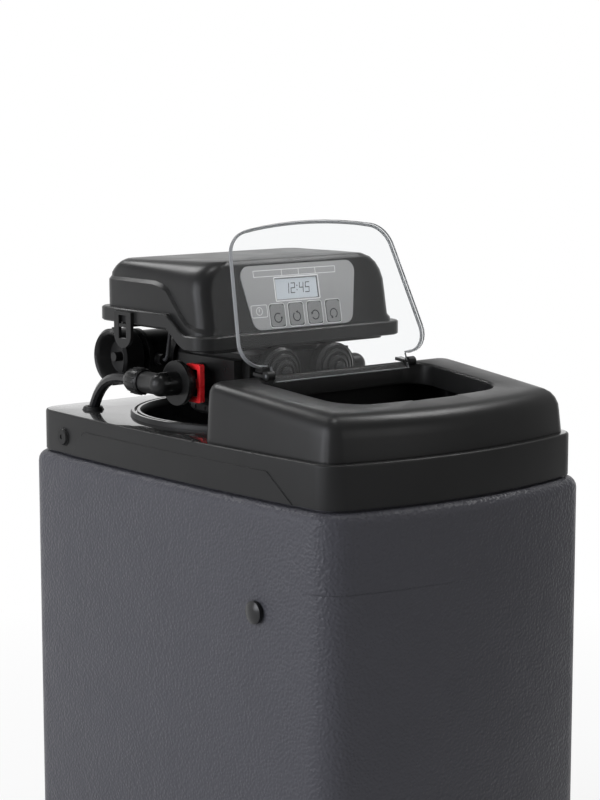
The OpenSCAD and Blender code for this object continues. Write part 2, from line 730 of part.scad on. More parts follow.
// Safety valve: a body at the foot of the well, with the float rod standing in it
valve_foot = 24;
safety_h = 40;
safety_r = 16;
module safety_valve() {
    foot = cab_floor + well_wall;
    rod_foot = valve_foot + safety_h - 3 * rod_d;
    color("#f0efe9") translate([-well_x, well_y, foot]) {
        difference() {
            union() {
                cylinder(r = safety_r - well_wall, h = valve_foot);
                translate([0, 0, valve_foot]) cylinder(r = safety_r, h = safety_h);
            }
            translate([0, 0, rod_foot]) cylinder(r = rod_d / 2, h = 3 * rod_d + eps);
            translate([0, 0, -eps]) cylinder(r = rod_d, h = valve_foot + eps);
            for (a = [0, 60, 120]) rotate([0, 0, a]) translate([-safety_r, -well_wall, 2 * well_wall])
                cube([2 * safety_r, 2 * well_wall, 3 * well_wall]);
        }
        translate([0, 0, rod_foot]) cylinder(r = rod_d / 2, h = rod_top - foot - rod_foot);
    }
}
rod_top = float_z + float_h + float_travel + 2 * rod_d;

module float() {
    color("#e8e6dc") translate([-well_x, well_y, float_z]) rotate_extrude() polygon([
        [rod_d / 2 + shaft_play, 0], [float_d / 2 - rod_d, 0], [float_d / 2, rod_d],
        [float_d / 2, float_h - rod_d], [float_d / 2 - rod_d, float_h], [rod_d / 2 + shaft_play, float_h]]);
}

// Stops on the rod below and above the float
stop_t = 3;
module float_stop() {
    low = float_z - stop_t - lid_gap / 2;
    high = float_z + float_h + float_travel + lid_gap / 2;
    color("#c7c5bb") translate([-well_x, well_y, 0]) for (z = [low, high])
        translate([0, 0, z]) difference() {
            cylinder(r = rod_d, h = stop_t);
            translate([0, 0, -eps]) cylinder(r = rod_d / 2 + shaft_play, h = stop_t + 2 * eps);
        }
}

// Sides of a swept tube, and the frame of a ring square to its route
tube_sides = 10;
cable_sides = 8;
function unit(v) = v / norm(v);
function route_dir(p, i) = let (n = len(p) - 1)
    unit(p[min(i + 1, n)] - p[max(i - 1, 0)]);
function tube_ring(p, i, r, sides) = let (d = route_dir(p, i),
        a = unit(cross(d, abs(d.x) > 0.9 ? [0, 0, 1] : [1, 0, 0])), b = cross(d, a))
    [for (s = [0:sides - 1]) let (t = -360 * s / sides) p[i] + r * (cos(t) * a + sin(t) * b)];
module tube(points, r, sides) {
    skin([for (i = [0:len(points) - 1]) tube_ring(points, i, r, sides)]);
}

// Route of the brine tube above and below the deck: back from its nut, down and into the well
brine_route = [[-105, 82, 33], [-105, 94, 33], [-105, 104, 33], [-105, 113, 33], [-104.8, 122, 32],
    [-104.4, 131, 29.8], [-103.7, 140, 25.7], [-102.9, 147.5, 20.3], [-102, 154, 13.8], [-101.2, 159.5, 6.1],
    [-101, 163, 0], [-101, 167.5, -7.8], [-101, 170.8, -14.9], [-101, 172.8, -22.5], [-101, 173.5, -30.3],
    [-101, 173.5, -42], [-101, 173.5, -56], [-101, 173.5, -70]];
module brine_tube() {
    color("#141518") translate([0, 0, deck_h]) tube(brine_route, tube_d / 2, tube_sides);
}

// Rubber grommet where the tube passes the deck
grommet_r = 9.5;
grommet_t = 3;
grommet_play = 0.6;
module tube_grommet() {
    color("#0f1012") difference() {
        union() {
            translate([-well_x, grommet_y, deck_h])
                cylinder(r1 = grommet_r, r2 = grommet_r - grommet_t / 2, h = grommet_t);
            along_tube() translate([0, 0, -skirt_wall - 2 * grommet_t])
                cylinder(r = grommet_hole_r - side_play, h = skirt_wall + 2 * grommet_t);
        }
        along_tube() cylinder(r = tube_d / 2 + grommet_play, h = skirt_h, center = true);
    }
}

// Flange that closes the neck of the tank, with its thread
flange_z = tank_top + lid_gap / 2;
flange_t = 10;
flange_chamfer = 2.5;
flange_ribs = 24;
module valve_flange() {
    color("#161719") translate([0, tank_y, flange_z]) difference() {
        union() {
            rotate_extrude($fn = 96) polygon([[riser_d, 0], [flange_r - flange_chamfer, 0],
                [flange_r, flange_chamfer], [flange_r, flange_t - flange_chamfer],
                [flange_r - flange_chamfer, flange_t], [riser_d, flange_t]]);
            translate([0, 0, -thread_h])
                cylinder(r = neck_bore_d / 2 - boot_play, h = thread_h + flange_t / 2);
            for (i = [0:flange_ribs - 1]) rotate([0, 0, 360 * i / flange_ribs])
                translate([flange_r - flange_chamfer, -flange_chamfer / 2, flange_t / 3])
                    cube([flange_t / 3, flange_chamfer, flange_t / 3]);
        }
        translate([0, 0, -thread_h - eps])
            cylinder(r = riser_d / 2 + boot_play, h = thread_h + flange_t + 2 * eps);
    }
}

// Valve body: barrel, chest, side sockets and rear spigots
body_z = flange_z + flange_t;
chest_rise = 58;
chest_lift = 26;
chest_top = deck_h + chest_rise;
chest_half = 62;
chest_front = 6;
chest_rear = 100;
chest_low = deck_h + chest_lift;
cap_face_y = -14;
cap_root_y = 4;
spigot_r = 17;
spigot_rear = 120;
spigot_flange_t = 4;
boss_r = 10;
boss_len = 9;
groove_r = 11.5;
groove_in = 8;
groove_w = 7;
disc_r = 26;
disc_t = 5;
module valve_body() {
    color("#18191b") at_head() difference() {
        union() {
            translate([0, head_reach, body_z]) cylinder(r = barrel_r, h = chest_top - body_z);
            box([-chest_half + shoulder_r, chest_front, chest_low],
                [chest_half - shoulder_r, chest_rear, chest_top]);
            box([-chest_half, chest_front + shoulder_r, chest_low + shoulder_r / 2],
                [chest_half, chest_rear - shoulder_r, chest_top - shoulder_r / 2]);
            both_sides() translate([front_cap_x, 0, deck_h + front_cap_z])
                rod_y(boss_r, cap_root_y, chest_front + boss_len);
            both_sides() side_socket();
            both_sides() translate([pipe_x, 0, deck_h + port_z]) {
                rod_y(spigot_r, chest_rear - eps, spigot_rear);
                rod_y(spigot_r + riser_wall, spigot_rear - spigot_flange_t, spigot_rear);
            }
            ribs();
        }
        translate([0, head_reach, body_z - eps]) cylinder(r = riser_d / 2 + boot_play, h = riser_d);
        translate([0, head_reach, chest_top - 2 * disc_t - lid_gap])
            cylinder(r = disc_r + boot_play, h = 3 * disc_t);
        both_sides() translate([pipe_x, 0, deck_h + port_z])
            rod_y(pipe_bore_d / 2, chest_rear - pipe_len, spigot_rear + eps);
        both_sides() translate([0, head_reach, deck_h + socket_z])
            rod_x(elbow_stub_r + side_play, socket_reach - pipe_len, socket_reach + eps);
    }
}
elbow_stub_r = 8;

module side_socket() {
    translate([0, head_reach, deck_h + socket_z]) {
        rod_x(groove_r, 0, socket_reach);
        rod_x(socket_r, 0, socket_reach - groove_in - groove_w);
        rod_x(socket_r, socket_reach - groove_in, socket_reach);
        rod_x(socket_r + socket_r / 4, socket_reach - riser_wall, socket_reach);
    }
}

// Stiffening ribs of the chest, left and right of the barrel
rib_t = 3;
module ribs() {
    for (x = [-chest_half + 2 * shoulder_r, chest_half - 2 * shoulder_r - rib_t])
        box([x, head_reach - barrel_r, body_z], [x + rib_t, head_reach + barrel_r, chest_low + rib_t]);
}

// Domed front caps with concentric rings
dome_rise = 9;
cap_rings = 3;
module front_caps() {
    root_y = cap_root_y - lid_gap / 2;
    color("#141517") at_head() both_sides() translate([front_cap_x, root_y, deck_h + front_cap_z])
        rotate([90, 0, 0]) rotate_extrude() front_cap_section();
}

module front_cap_section() {
    reach = cap_root_y - lid_gap / 2 - cap_face_y;
    rim = reach - dome_rise;
    r = front_cap_r;
    step = r / (2 * cap_rings + 2);
    rise = dome_rise / (cap_rings + 1);
    polygon(concat([[0, 0], [r, 0], [r, rim]],
        [for (i = [0:cap_rings - 1]) let (outer = r - (2 * i + 1) * step, top = rim + rise * (i + 1))
            each [[outer, top], [outer, top - riser_wall / 2],
                [outer - step, top - riser_wall / 2], [outer - step, top + rise * cap_slope_share]]],
        [[step, reach], [0, reach]]));
}
cap_slope_share = 0.4;

// Ceramic discs under the drive gear
module fixed_disc() {
    color("#efece2") translate([0, tank_y, chest_top - 2 * disc_t - lid_gap]) difference() {
        cylinder(r = disc_r, h = disc_t);
        for (a = [0:60:300]) rotate([0, 0, a]) translate([disc_r * disc_port_share, 0, -eps])
            cylinder(r = disc_r / 6, h = disc_t + 2 * eps);
    }
}

module moving_disc() {
    color("#efece2") translate([0, tank_y, chest_top - disc_t - lid_gap + disc_gap]) difference() {
        cylinder(r = disc_r - disc_rim, h = disc_t);
        translate([disc_r * disc_port_share, 0, -eps]) cylinder(r = disc_r / 5, h = disc_t / 2 + eps);
    }
}
disc_rim = 3;
disc_port_share = 0.6;
disc_gap = 0.1;

// Quick-connect elbow of the brine tube: stub in the socket, turned to the rear
elbow_r = 10;
nut_r = 11;
nut_len = 22;
elbow_out_x = 17;
elbow_arm = 22;
elbow_x = socket_reach + elbow_out_x;
elbow_nut_y = tank_y + elbow_arm;
module side_elbow() {
    x0 = socket_reach + side_play;
    translate([0, tank_y, deck_h + socket_z]) {
        rod_x(elbow_stub_r, socket_reach - pipe_len + groove_in, x0 + side_play);
        rod_x(socket_r + socket_r / 4, x0, x0 + riser_wall);
        rod_x(elbow_r, x0, elbow_x);
        translate([elbow_x, 0, 0]) sphere(r = elbow_r);
        translate([elbow_x, 0, 0]) rod_y(elbow_r - riser_wall / 2, 0, elbow_arm);
    }
}

module brine_elbow() {
    color("#1a1b1d") difference() {
        mirror([1, 0, 0]) side_elbow();
        translate([-elbow_x, 0, deck_h + socket_z])
            rod_y(tube_d / 2 - riser_wall / 2, tank_y, elbow_nut_y + eps);
    }
}

module elbow_nut() {
    color("#1d1e21") nut_on(-elbow_x);
}

module nut_on(x) {
    z = deck_h + socket_z;
    translate([x, elbow_nut_y + lid_gap / 2, z]) rotate([-90, 0, 0]) difference() {
        union() {
            rotate_extrude() polygon([[0, 0], [nut_r - riser_wall / 2, 0], [nut_r, riser_wall],
                [nut_r, nut_len / 2], [nut_r - nut_taper / 3, 3 * nut_len / 4],
                [nut_r - nut_taper, nut_len - riser_wall / 2],
                [nut_r - 2 * nut_taper + riser_wall, nut_len], [0, nut_len]]);
            for (i = [0:nut_ribs - 1]) rotate([0, 0, 360 * i / nut_ribs])
                translate([nut_r - riser_wall / 4, -riser_wall / 4, riser_wall])
                    cube([riser_wall / 2, riser_wall / 2, nut_len / 2]);
        }
        translate([0, 0, -eps]) cylinder(r = tube_d / 2 + side_play, h = nut_len + 2 * eps);
    }
}
nut_taper = 3;
nut_ribs = 18;

// E-shaped clip pushed over the groove of a socket from the front
clip_half = 16;
clip_t = 4.5;
clip_bar = 4.4;
clip_prong = 19;
clip_tooth = 3;
clip_teeth_gap = 4.6;
module socket_clip() {
    x = -socket_reach + groove_in + groove_w / 2 - clip_t / 2;
    spine_y = tank_y - groove_r - clip_bar / 2 - clip_tooth - side_play;
    end_z = clip_half - clip_bar / 2;
    translate([x, 0, deck_h + socket_z]) rotate([90, 0, 90]) linear_extrude(clip_t) {
        translate([spine_y - clip_bar / 2, -end_z]) square([clip_bar, 2 * end_z]);
        for (side = [-1, 1]) {
            translate([spine_y, side * end_z]) clip_rod(clip_prong - clip_bar, clip_bar);
            translate([spine_y, side * clip_teeth_gap / 2])
                clip_rod((clip_bar + clip_tooth) / 2, clip_tooth);
        }
        translate([spine_y, -clip_teeth_gap / 2]) square([clip_bar, clip_teeth_gap]);
    }
}

// A prong of the clip with round ends
module clip_rod(reach, wide) {
    circle(r = wide / 2);
    translate([0, -wide / 2]) square([reach, wide]);
    translate([reach, 0]) circle(r = wide / 2);
}

module brine_clip() {
    color("#e5202b") socket_clip();
}

module drain_elbow() {
    color("#1a1b1d") difference() {
        union() {
            side_elbow();
            translate([elbow_x, elbow_nut_y, deck_h + socket_z])
                rod_y(barb_d / 2, -riser_wall, barb_len / 2);
            for (i = [0:2]) translate([elbow_x, elbow_nut_y + i * nut_t - riser_wall, deck_h + socket_z])
                rotate([-90, 0, 0])
                    cylinder(r1 = (barb_d + riser_wall) / 2, r2 = barb_d / 2, h = nut_t / 2);
        }
        translate([elbow_x, 0, deck_h + socket_z]) rod_y(barb_bore_d / 2, tank_y, elbow_nut_y + barb_len);
    }
}

module drain_clip() {
    color("#e5202b") mirror([1, 0, 0]) socket_clip();
}

// Bypass valve: a cross barrel behind the valve body, with two threaded pipe ends
barrel_y = 150;
bypass_r = 21;
bypass_half = 66;
bypass_bore = 15;
port_gap = 0.3;
module bypass_body() {
    color("#191a1c") at_head() difference() {
        union() {
            translate([0, barrel_y, deck_h + port_z]) rod_x(bypass_r, -bypass_half, bypass_half);
            for (x = [-bypass_half, bypass_half - 2 * riser_wall]) translate([x, barrel_y, deck_h + port_z])
                rod_x(bypass_r + riser_wall, 0, 2 * riser_wall);
            both_sides() translate([pipe_x, 0, deck_h + port_z]) {
                rod_y(spigot_r, spigot_rear + port_gap, barrel_y);
                rod_y(spigot_r + riser_wall, spigot_rear + port_gap,
                    spigot_rear + port_gap + spigot_flange_t);
                rod_y(pipe_d / 2 + riser_wall, barrel_y, pipe_root);
                rod_y(pipe_d / 2, barrel_y, pipe_root + pipe_len);
            }
        }
        translate([0, barrel_y, deck_h + port_z])
            rod_x(bypass_bore, -bypass_half - eps, bypass_half - 2 * riser_wall);
        both_sides() translate([pipe_x, 0, deck_h + port_z])
            rod_y(pipe_bore_d / 2, spigot_rear, pipe_root + pipe_len + eps);
    }
}
pipe_step = 2;
pipe_root = barrel_y + bypass_r + pipe_step;

// Spool inside the bypass, turned by the knob
module bypass_spool() {
    r = bypass_bore - shaft_play;
    color("#d6d4cb") at_head() translate([0, barrel_y, deck_h + port_z]) difference() {
        rod_x(r, -bypass_half, bypass_half - 2 * riser_wall - port_gap);
        for (x = [-pipe_x, pipe_x]) translate([x, -bypass_r, 0])
            rod_y(pipe_bore_d / 2 - riser_wall, 0, 2 * bypass_r);
    }
}

// Cup-shaped knob with a grip web and a pointer
knob_x = bypass_half + riser_wall + knob_len + side_play;
knob_wall = 5;
hub_r = 4;
module bypass_knob() {
    inner_r = knob_r - 2 * knob_wall;
    color("#1a1b1d") at_head() translate([-knob_x, barrel_y, deck_h + port_z]) rotate([0, 90, 0]) {
        rotate_extrude() polygon([[0, knob_len / 2], [inner_r, knob_len / 2],
            [knob_r - knob_wall, knob_wall / 3], [knob_r - knob_wall / 2, 0], [knob_r, knob_wall / 2],
            [knob_r, knob_len - knob_wall], [knob_r - knob_wall, knob_len], [0, knob_len]]);
        translate([0, 0, knob_wall]) cylinder(r = hub_r, h = knob_len / 2);
        translate([-knob_r - riser_wall / 2, -riser_wall, knob_wall])
            cube([knob_wall, 2 * riser_wall, knob_wall]);
        translate([0, 0, knob_len - eps]) cylinder(r = bypass_bore / 2, h = riser_wall + side_play + eps);
    }
}

// Clamp rings that join the bypass to the valve body
nut_ring_r = 21;
module port_nuts() {
    color("#202124") at_head() both_sides() translate([pipe_x, spigot_rear, deck_h + port_z]) difference() {
        rod_y(nut_ring_r, -spigot_flange_t - riser_wall, spigot_flange_t + riser_wall);
        rod_y(spigot_r + riser_wall + boot_play, -spigot_flange_t - boot_play,
            spigot_flange_t + boot_play + port_gap);
        rod_y(spigot_r + boot_play, -2 * spigot_flange_t, 2 * spigot_flange_t);
    }
}

// Sensor of the flow meter on the front of the bypass barrel, with its cable up to the head
sensor_x = 56.4;
sensor_z = 44;
sensor_r = 4.8;
sensor_len = 9;
module flow_meter() {
    color("#222327") at_head() difference() {
        translate([-sensor_x, 0, deck_h + sensor_z]) union() {
            rod_y(sensor_r, barrel_y - bypass_r - sensor_len, barrel_y);
            rod_y(sensor_r + riser_wall / 4, barrel_y - bypass_r - sensor_len / 3, barrel_y);
        }
        translate([0, barrel_y, deck_h + port_z]) rod_x(bypass_r + side_play, -cab_w, cab_w);
    }
}
cable_d = 3.2;
cable_route = [[-56.4, 119.9, 44], [-56.4, 117.5, 44.1], [-56.8, 115, 46.6], [-57.5, 112.6, 51],
    [-58.4, 110.4, 56], [-59.2, 108.2, 61.5], [-60, 106.2, 67], [-60, 105, 72.5], [-60, 104.6, 77],
    [-60, 104.6, 80.5]];
module meter_cable() {
    color("#5a5c60") at_head() translate([0, 0, deck_h]) tube(cable_route, cable_d / 2, cable_sides);
}

// Base plate of the control head: a stepped plate that the cover closes on
base_half = 97;
base_front = 6;
base_rear = 136;
post_w = 12;
post_rear = 92;
ramp_from = 27;
ramp_to = 47;
base_t = 6;
function lip_low(y) = deck_h - lip_h + (y < ramp_from ? lip_front : y > ramp_to ? lip_rear
    : lip_front + (lip_rear - lip_front) * (y - ramp_from) / (ramp_to - ramp_from));
module head_base() {
    low = lip_low(0) - base_t / 2;
    high = lip_low(base_rear) - base_t / 2;
    post_x = chest_half - shoulder_r;
    color("#1c1d20") at_head() difference() {
        union() {
            intersection() {
                translate([-base_half, 0, 0]) rotate([90, 0, 90]) linear_extrude(2 * base_half) polygon([
                    [base_front, low], [ramp_from - base_t / 3, low], [ramp_to - base_t / 3, high],
                    [base_rear, high], [base_rear, high + base_t], [ramp_to, high + base_t],
                    [ramp_from, low + base_t], [base_front, low + base_t]]);
                prism([for (p = lip_ring(-head_wall - side_step - boot_play, 0)) [p.x, p.y]],
                    deck_h, high + 2 * base_t);
            }
            both_sides() box([post_x - post_w, ramp_to, chest_top], [post_x, post_rear, high]);
            both_sides() latch_nub();
            translate([motor_x, head_reach + motor_dy, high])
                cylinder(r = motor_r / 2, h = base_t + riser_wall);
        }
        translate([0, head_reach, chest_top]) cylinder(r = shaft_r + shaft_play, h = deck_h);
        translate([0, head_reach, chest_top - eps])
            cylinder(r = disc_r + boot_play, h = high - chest_top + eps);
        translate([motor_x, head_reach + motor_dy, high - eps])
            cylinder(r = pinion_shaft_r + shaft_play, h = 2 * base_t + riser_wall);
        translate([-cable_hole_x, cable_hole_y, high - eps])
            cylinder(r = cable_d / 2 + boot_play, h = base_t + 2 * eps);
    }
}
shaft_r = 6;
pinion_shaft_r = 3;
cable_hole_x = 60;
cable_hole_y = 104.6;
latch_y = 102;
latch_half = 12;
latch_low = 60;
latch_t = 3;
nub_r = 5;
module latch_nub() {
    translate([0, latch_y, lip_low(latch_y)]) box([base_half - eps, -nub_r, -base_t / 2],
        [head_half + lip_out + latch_t, nub_r, -side_play]);
}

// Drive train: motor and pinion beside the gear on the valve shaft
gear_r = gear_teeth * tooth_pitch / (2 * PI);
pinion_r = pinion_teeth * tooth_pitch / (2 * PI);
gear_distance = gear_r + pinion_r;
motor_angle = 40;
motor_x = gear_distance * cos(motor_angle);
motor_dy = gear_distance * sin(motor_angle);
motor_y = tank_y + motor_dy;
motor_r = 20;
motor_h = 20;
slab_top = lip_low(base_rear) + base_t / 2;
gear_z = slab_top + 2 * riser_wall;
gear_t = 6;
tooth_up = 1.2;
tooth_down = 1.7;
tooth_share = 0.3;
function around(r, a) = r * [cos(a), sin(a)];
module gear_wheel(teeth, phase) {
    r = teeth * tooth_pitch / (2 * PI);
    tip = 180 / teeth * tooth_share / 2;
    root = 3 * tip;
    polygon([for (i = [0:teeth - 1]) let (a = phase + 360 * i / teeth)
        each [around(r - tooth_down, a - root), around(r + tooth_up, a - tip),
            around(r + tooth_up, a + tip), around(r - tooth_down, a + root)]]);
}

module drive_gear() {
    color("#e9e5d6") translate([0, tank_y, gear_z]) difference() {
        union() {
            linear_extrude(gear_t) gear_wheel(gear_teeth, motor_angle);
            cylinder(r = 2 * shaft_r, h = gear_t + riser_wall);
        }
        translate([0, 0, -eps]) cylinder(r = shaft_r, h = 2 * gear_t);
        for (a = [0:60:300]) rotate([0, 0, a]) translate([gear_r * gear_hole_share, 0, -eps])
            cylinder(r = gear_r / 7, h = gear_t + 2 * eps);
    }
}
gear_hole_share = 0.6;

module gear_shaft() {
    color("#d9d7cd") translate([0, tank_y, 0]) {
        translate([0, 0, chest_top - lid_gap + disc_gap]) cylinder(r = shaft_r * 2, h = disc_t);
        translate([0, 0, chest_top])
            cylinder(r = shaft_r, h = gear_z + gear_t + 2 * riser_wall - chest_top);
    }
}

module pinion() {
    foot = slab_top - base_t / 2;
    color("#e9e5d6") translate([motor_x, motor_y, 0]) {
        translate([0, 0, gear_z]) linear_extrude(gear_t)
            gear_wheel(pinion_teeth, motor_angle + 180 + 180 / pinion_teeth);
        translate([0, 0, foot]) cylinder(r = pinion_shaft_r, h = gear_z + gear_t + 2 * riser_wall - foot);
    }
}

module drive_motor() {
    z = gear_z + gear_t + riser_wall;
    color("#8d9094") difference() {
        union() {
            translate([motor_x, motor_y, z]) cylinder(r = motor_r, h = motor_h);
            for (a = [0, 180]) translate([motor_x, motor_y, z]) rotate([0, 0, motor_angle + 90 + a])
                translate([motor_r - base_t, -base_t / 2, slab_top - z])
                    cube([2 * base_t, base_t, z - slab_top + base_t]);
        }
        translate([motor_x, motor_y, z - eps])
            cylinder(r = pinion_shaft_r + shaft_play, h = 3 * riser_wall);
    }
}

// Head cover: a stepped lip, an S-shaped step in each side and upper edges rounder at the front.
// Every ring of its skin has the points of one plan, moved in with the height.
head_corner_r = 15;
front_round = 7;
rear_chamfer = 12;
side_shares = [0, 0.08, 0.15, 0.22, 0.29, 0.36, 0.45, 0.6, 0.8, 1];
rise_shares = [0.18, 0.38, 0.56, 0.71, 0.83, 0.92, 0.98, 1];
front_steps = 6;
head_corner_steps = 5;
// Plan of the head: straight runs and quarter rounds, from the front left corner on
function quarter(cx, cy, from) = [for (s = [1:head_corner_steps - 1])
    [cx, cy] + around(head_corner_r, from + 90 * s / head_corner_steps)];
head_x = head_half - head_corner_r;
head_y = head_d - head_corner_r;
head_run = head_d - 2 * head_corner_r;
head_plan = concat(
    [for (s = [0:front_steps]) [-head_x + 2 * head_x * s / front_steps, 0]],
    quarter(head_x, head_corner_r, -90),
    [for (t = side_shares) [head_half, head_corner_r + head_run * t]],
    quarter(head_x, head_y, 0),
    [for (s = [0:front_steps]) [head_x - 2 * head_x * s / front_steps, head_d]],
    quarter(-head_x, head_y, 90),
    [for (i = [len(side_shares) - 1:-1:0]) [-head_half, head_corner_r + head_run * side_shares[i]]],
    quarter(-head_x, head_corner_r, 180));
function ease(v) = let (u = clamp01(v)) u * u * (3 - 2 * u);
function head_ceiling(y) = deck_h + head_top - head_fall * y / head_d;
function lip_top(y) = lip_low(y) + lip_h;
// Height of the S-shaped step: low at the front, high at the rear
step_from = 5;
step_run = 62;
step_front_rise = 4;
step_rise = 20;
function step_line(y) = lip_top(y) + step_front_rise + step_rise * ease((y - step_from) / step_run);
function head_round(y) = head_r + (head_rear_r - head_r) * y / head_d;
function quarter_in(h, r) = h >= r ? 0 : r - sqrt(max(0, r * r - (r - h) * (r - h)));
// A point of the plan at height z, with a side inset and a wall inset
function head_point(q, z, side, wall) =
    let (h = head_ceiling(q.y) - z,
        w = head_half - side - wall - quarter_in(h, head_round(q.y)),
        front = (z - lip_top(0)) * tan(face_lean) + quarter_in(h, front_round) + wall,
        rear = head_d - wall - max(0, rear_chamfer - h))
    [q.x * w / head_half, front + q.y * (rear - front) / head_d, z];
// A ring at a share of the way from one of three lines up to the ceiling
function head_line(base, y) =
    base == 0 ? lip_low(y) : base == 1 ? lip_top(y) : step_line(y) + side_step / 2;
function head_ring(base, top_share, side, wall, drop) = [for (q = head_plan)
    let (from = head_line(base, q.y), z = from + (head_ceiling(q.y) - from) * top_share,
        p = head_point(q, z, side, wall))
    [p.x, p.y, (top_share < 1 ? p.z : head_ceiling(p.y)) - drop]];
// A ring of the lip: pushed out from the plan at the lip's own height
function lip_ring(out, up) = [for (q = head_plan)
    [q.x * (head_half + out) / head_half, -out + q.y * (head_d + 2 * out) / head_d, lip_low(q.y) + up]];
function step_ring(up, side) = [for (q = head_plan) head_point(q, step_line(q.y) + up, side, 0)];

inner_shares = [1, 0.9, 0.7, 0.4];
module head_shell() {
    edge = lip_out / 5;
    skin(concat(
        [for (s = inner_shares) head_ring(1, s, side_step, head_wall, head_wall)],
        [for (up = [lip_h, 0]) lip_ring(-head_wall - side_step, up)],
        [lip_ring(lip_out - edge, 0), lip_ring(lip_out, edge), lip_ring(lip_out, lip_h - edge),
            lip_ring(lip_out - edge, lip_h), lip_ring(0, lip_h)],
        [step_ring(-side_step / 2, 0), step_ring(side_step / 2, side_step)],
        [for (s = rise_shares) head_ring(2, s, side_step, 0, 0)]));
}

// Place children on the leaning front face, x across, y up the face from the lip, z outward
module on_face() {
    at_head() translate([0, 0, deck_h + lip_front]) rotate([90 - face_lean, 0, 0]) children();
}

module head_cover() {
    color("#1a1b1e") difference() {
        at_head() head_shell();
        on_face() translate([0, 0, -2 * head_wall]) linear_extrude(3 * head_wall) face_windows();
    }
}

// Windows of the display and of the keys, through the cover and through the panel
module face_windows() {
    translate([lcd_x - lcd_w / 2, lcd_y - lcd_h / 2]) square([lcd_w, lcd_h]);
    for (i = [0:3]) translate([key_x(i) - key_w / 2 - key_play, key_y - key_h / 2 - key_play])
        square([key_w + 2 * key_play, key_h + 2 * key_play]);
}
lcd_x = -3.5;
lcd_y = 34;
key_y = 12.5;
key_play = 0.3;
key_mid_x = 2.5;
function key_x(i) = key_mid_x + (i - 3 / 2) * key_pitch;

// Display panel: a thin tapered plate with windows for the display and the keys
panel_r = 9;
panel_low = 1.5;
module panel_plan() {
    low = panel_low + panel_r;
    high = panel_low + panel_len - panel_r;
    polygon(plan([[-panel_foot_w / 2 + panel_r, low], [panel_foot_w / 2 - panel_r, low],
        [panel_top_w / 2 - panel_r, high], [-panel_top_w / 2 + panel_r, high]], [0, 0, 0, 0],
        [panel_r, panel_r, panel_r, panel_r]));
}

module display_panel() {
    color("#8b8d92") on_face() translate([0, 0, face_gap]) linear_extrude(panel_thick) difference() {
        panel_plan();
        face_windows();
    }
}
face_gap = 0.05;

// Keys: rounded pads through the panel, with a stem back to the board
key_r = 3;
module key(i) {
    x = key_w / 2 - key_r;
    y = key_h / 2 - key_r;
    stem = board_back - board_t - key_travel - boot_play;
    color("#9a9ca1") on_face() translate([key_x(i), key_y, 0]) {
        translate([0, 0, panel_thick - head_wall]) linear_extrude(head_wall + face_gap + key_proud)
            polygon(plan([[-x, -y], [x, -y], [x, y], [-x, y]], [0, 0, 0, 0], [key_r, key_r, key_r, key_r]));
        translate([0, 0, -stem]) cylinder(r = key_r, h = stem);
    }
}
key_proud = 0.4;
board_back = 9;
board_t = 1.6;
module key_1() { key(0); }
module key_2() { key(1); }
module key_3() { key(2); }
module key_4() { key(3); }

// Display module behind its window, and the control board that carries it
module display_module() {
    window_d = head_wall - key_play;
    back_d = board_back - board_t - head_wall - 3 * key_play;
    color("#b9c6cf") on_face() translate([lcd_x - lcd_w / 2, lcd_y - lcd_h / 2, 0]) {
        translate([key_play, key_play, -window_d])
            cube([lcd_w - 2 * key_play, lcd_h - 2 * key_play, window_d]);
        translate([-board_t, 0, -board_back + board_t]) cube([lcd_w + 2 * board_t, lcd_h, back_d]);
    }
}

board_half = 52;
board_len = 44;
module control_board() {
    color("#1f5b35") on_face() difference() {
        translate([-board_half, 0, -board_back]) cube([2 * board_half, board_len, board_t]);
        for (x = [-board_half + base_t, board_half - base_t])
            translate([x, board_len - base_t, -board_back - eps])
            cylinder(r = screw_r, h = board_t + 2 * eps);
    }
}

// U-shaped latches that hook the cover onto the base plate
module latch_clips() {
    color("#1e1f22") at_head() both_sides() latch();
}

module latch() {
    x = head_half + lip_out + side_play;
    top = lip_low(latch_y) + lip_h - riser_wall;
    foot = deck_h + latch_low;
    slot_half = nub_r + boot_play;
    translate([x, latch_y, 0]) rotate([90, 0, 90]) linear_extrude(latch_t) difference() {
        union() {
            translate([-latch_half, foot + latch_half]) square([2 * latch_half, top - foot - latch_half]);
            translate([0, foot + latch_half]) circle(r = latch_half);
        }
        translate([-slot_half, foot + nub_r + latch_t])
            square([2 * slot_half, top - foot - nub_r - 2 * latch_t]);
    }
}

// Low-voltage socket in the rear of the base plate
module power_socket() {
    socket_h = 2 * base_t - side_play;
    foot = lip_low(base_rear) - base_t / 2 - socket_h;
    color("#101113") at_head() translate([-base_t, base_rear - 2 * base_t, foot]) difference() {
        cube([2 * base_t, 2 * base_t, socket_h]);
        translate([base_t, 0, base_t]) rod_y(base_t / 2, base_t / 2, 3 * base_t);
    }
}

cabinet();
side_plug();
overflow_elbow();
overflow_nut();
top_cover();
screw_caps();
salt_collar();
hinge_ears();
salt_lid();
resin_tank();
tank_boot();
riser_tube();
bottom_strainer();
top_strainer();
brine_well();
well_cap();
safety_valve();
float();
float_stop();
brine_tube();
tube_grommet();
valve_flange();
valve_body();
front_caps();
fixed_disc();
moving_disc();
brine_elbow();
elbow_nut();
brine_clip();
drain_elbow();
drain_clip();
bypass_body();
bypass_knob();
bypass_spool();
port_nuts();
flow_meter();
meter_cable();
head_base();
drive_motor();
pinion();
drive_gear();
gear_shaft();
control_board();
display_module();
display_panel();
key_1();
key_2();
key_3();
key_4();
head_cover();
latch_clips();
power_socket();
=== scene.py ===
"""Looks of a compact cabinet water softener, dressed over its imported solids."""
import json
import math
from collections import defaultdict

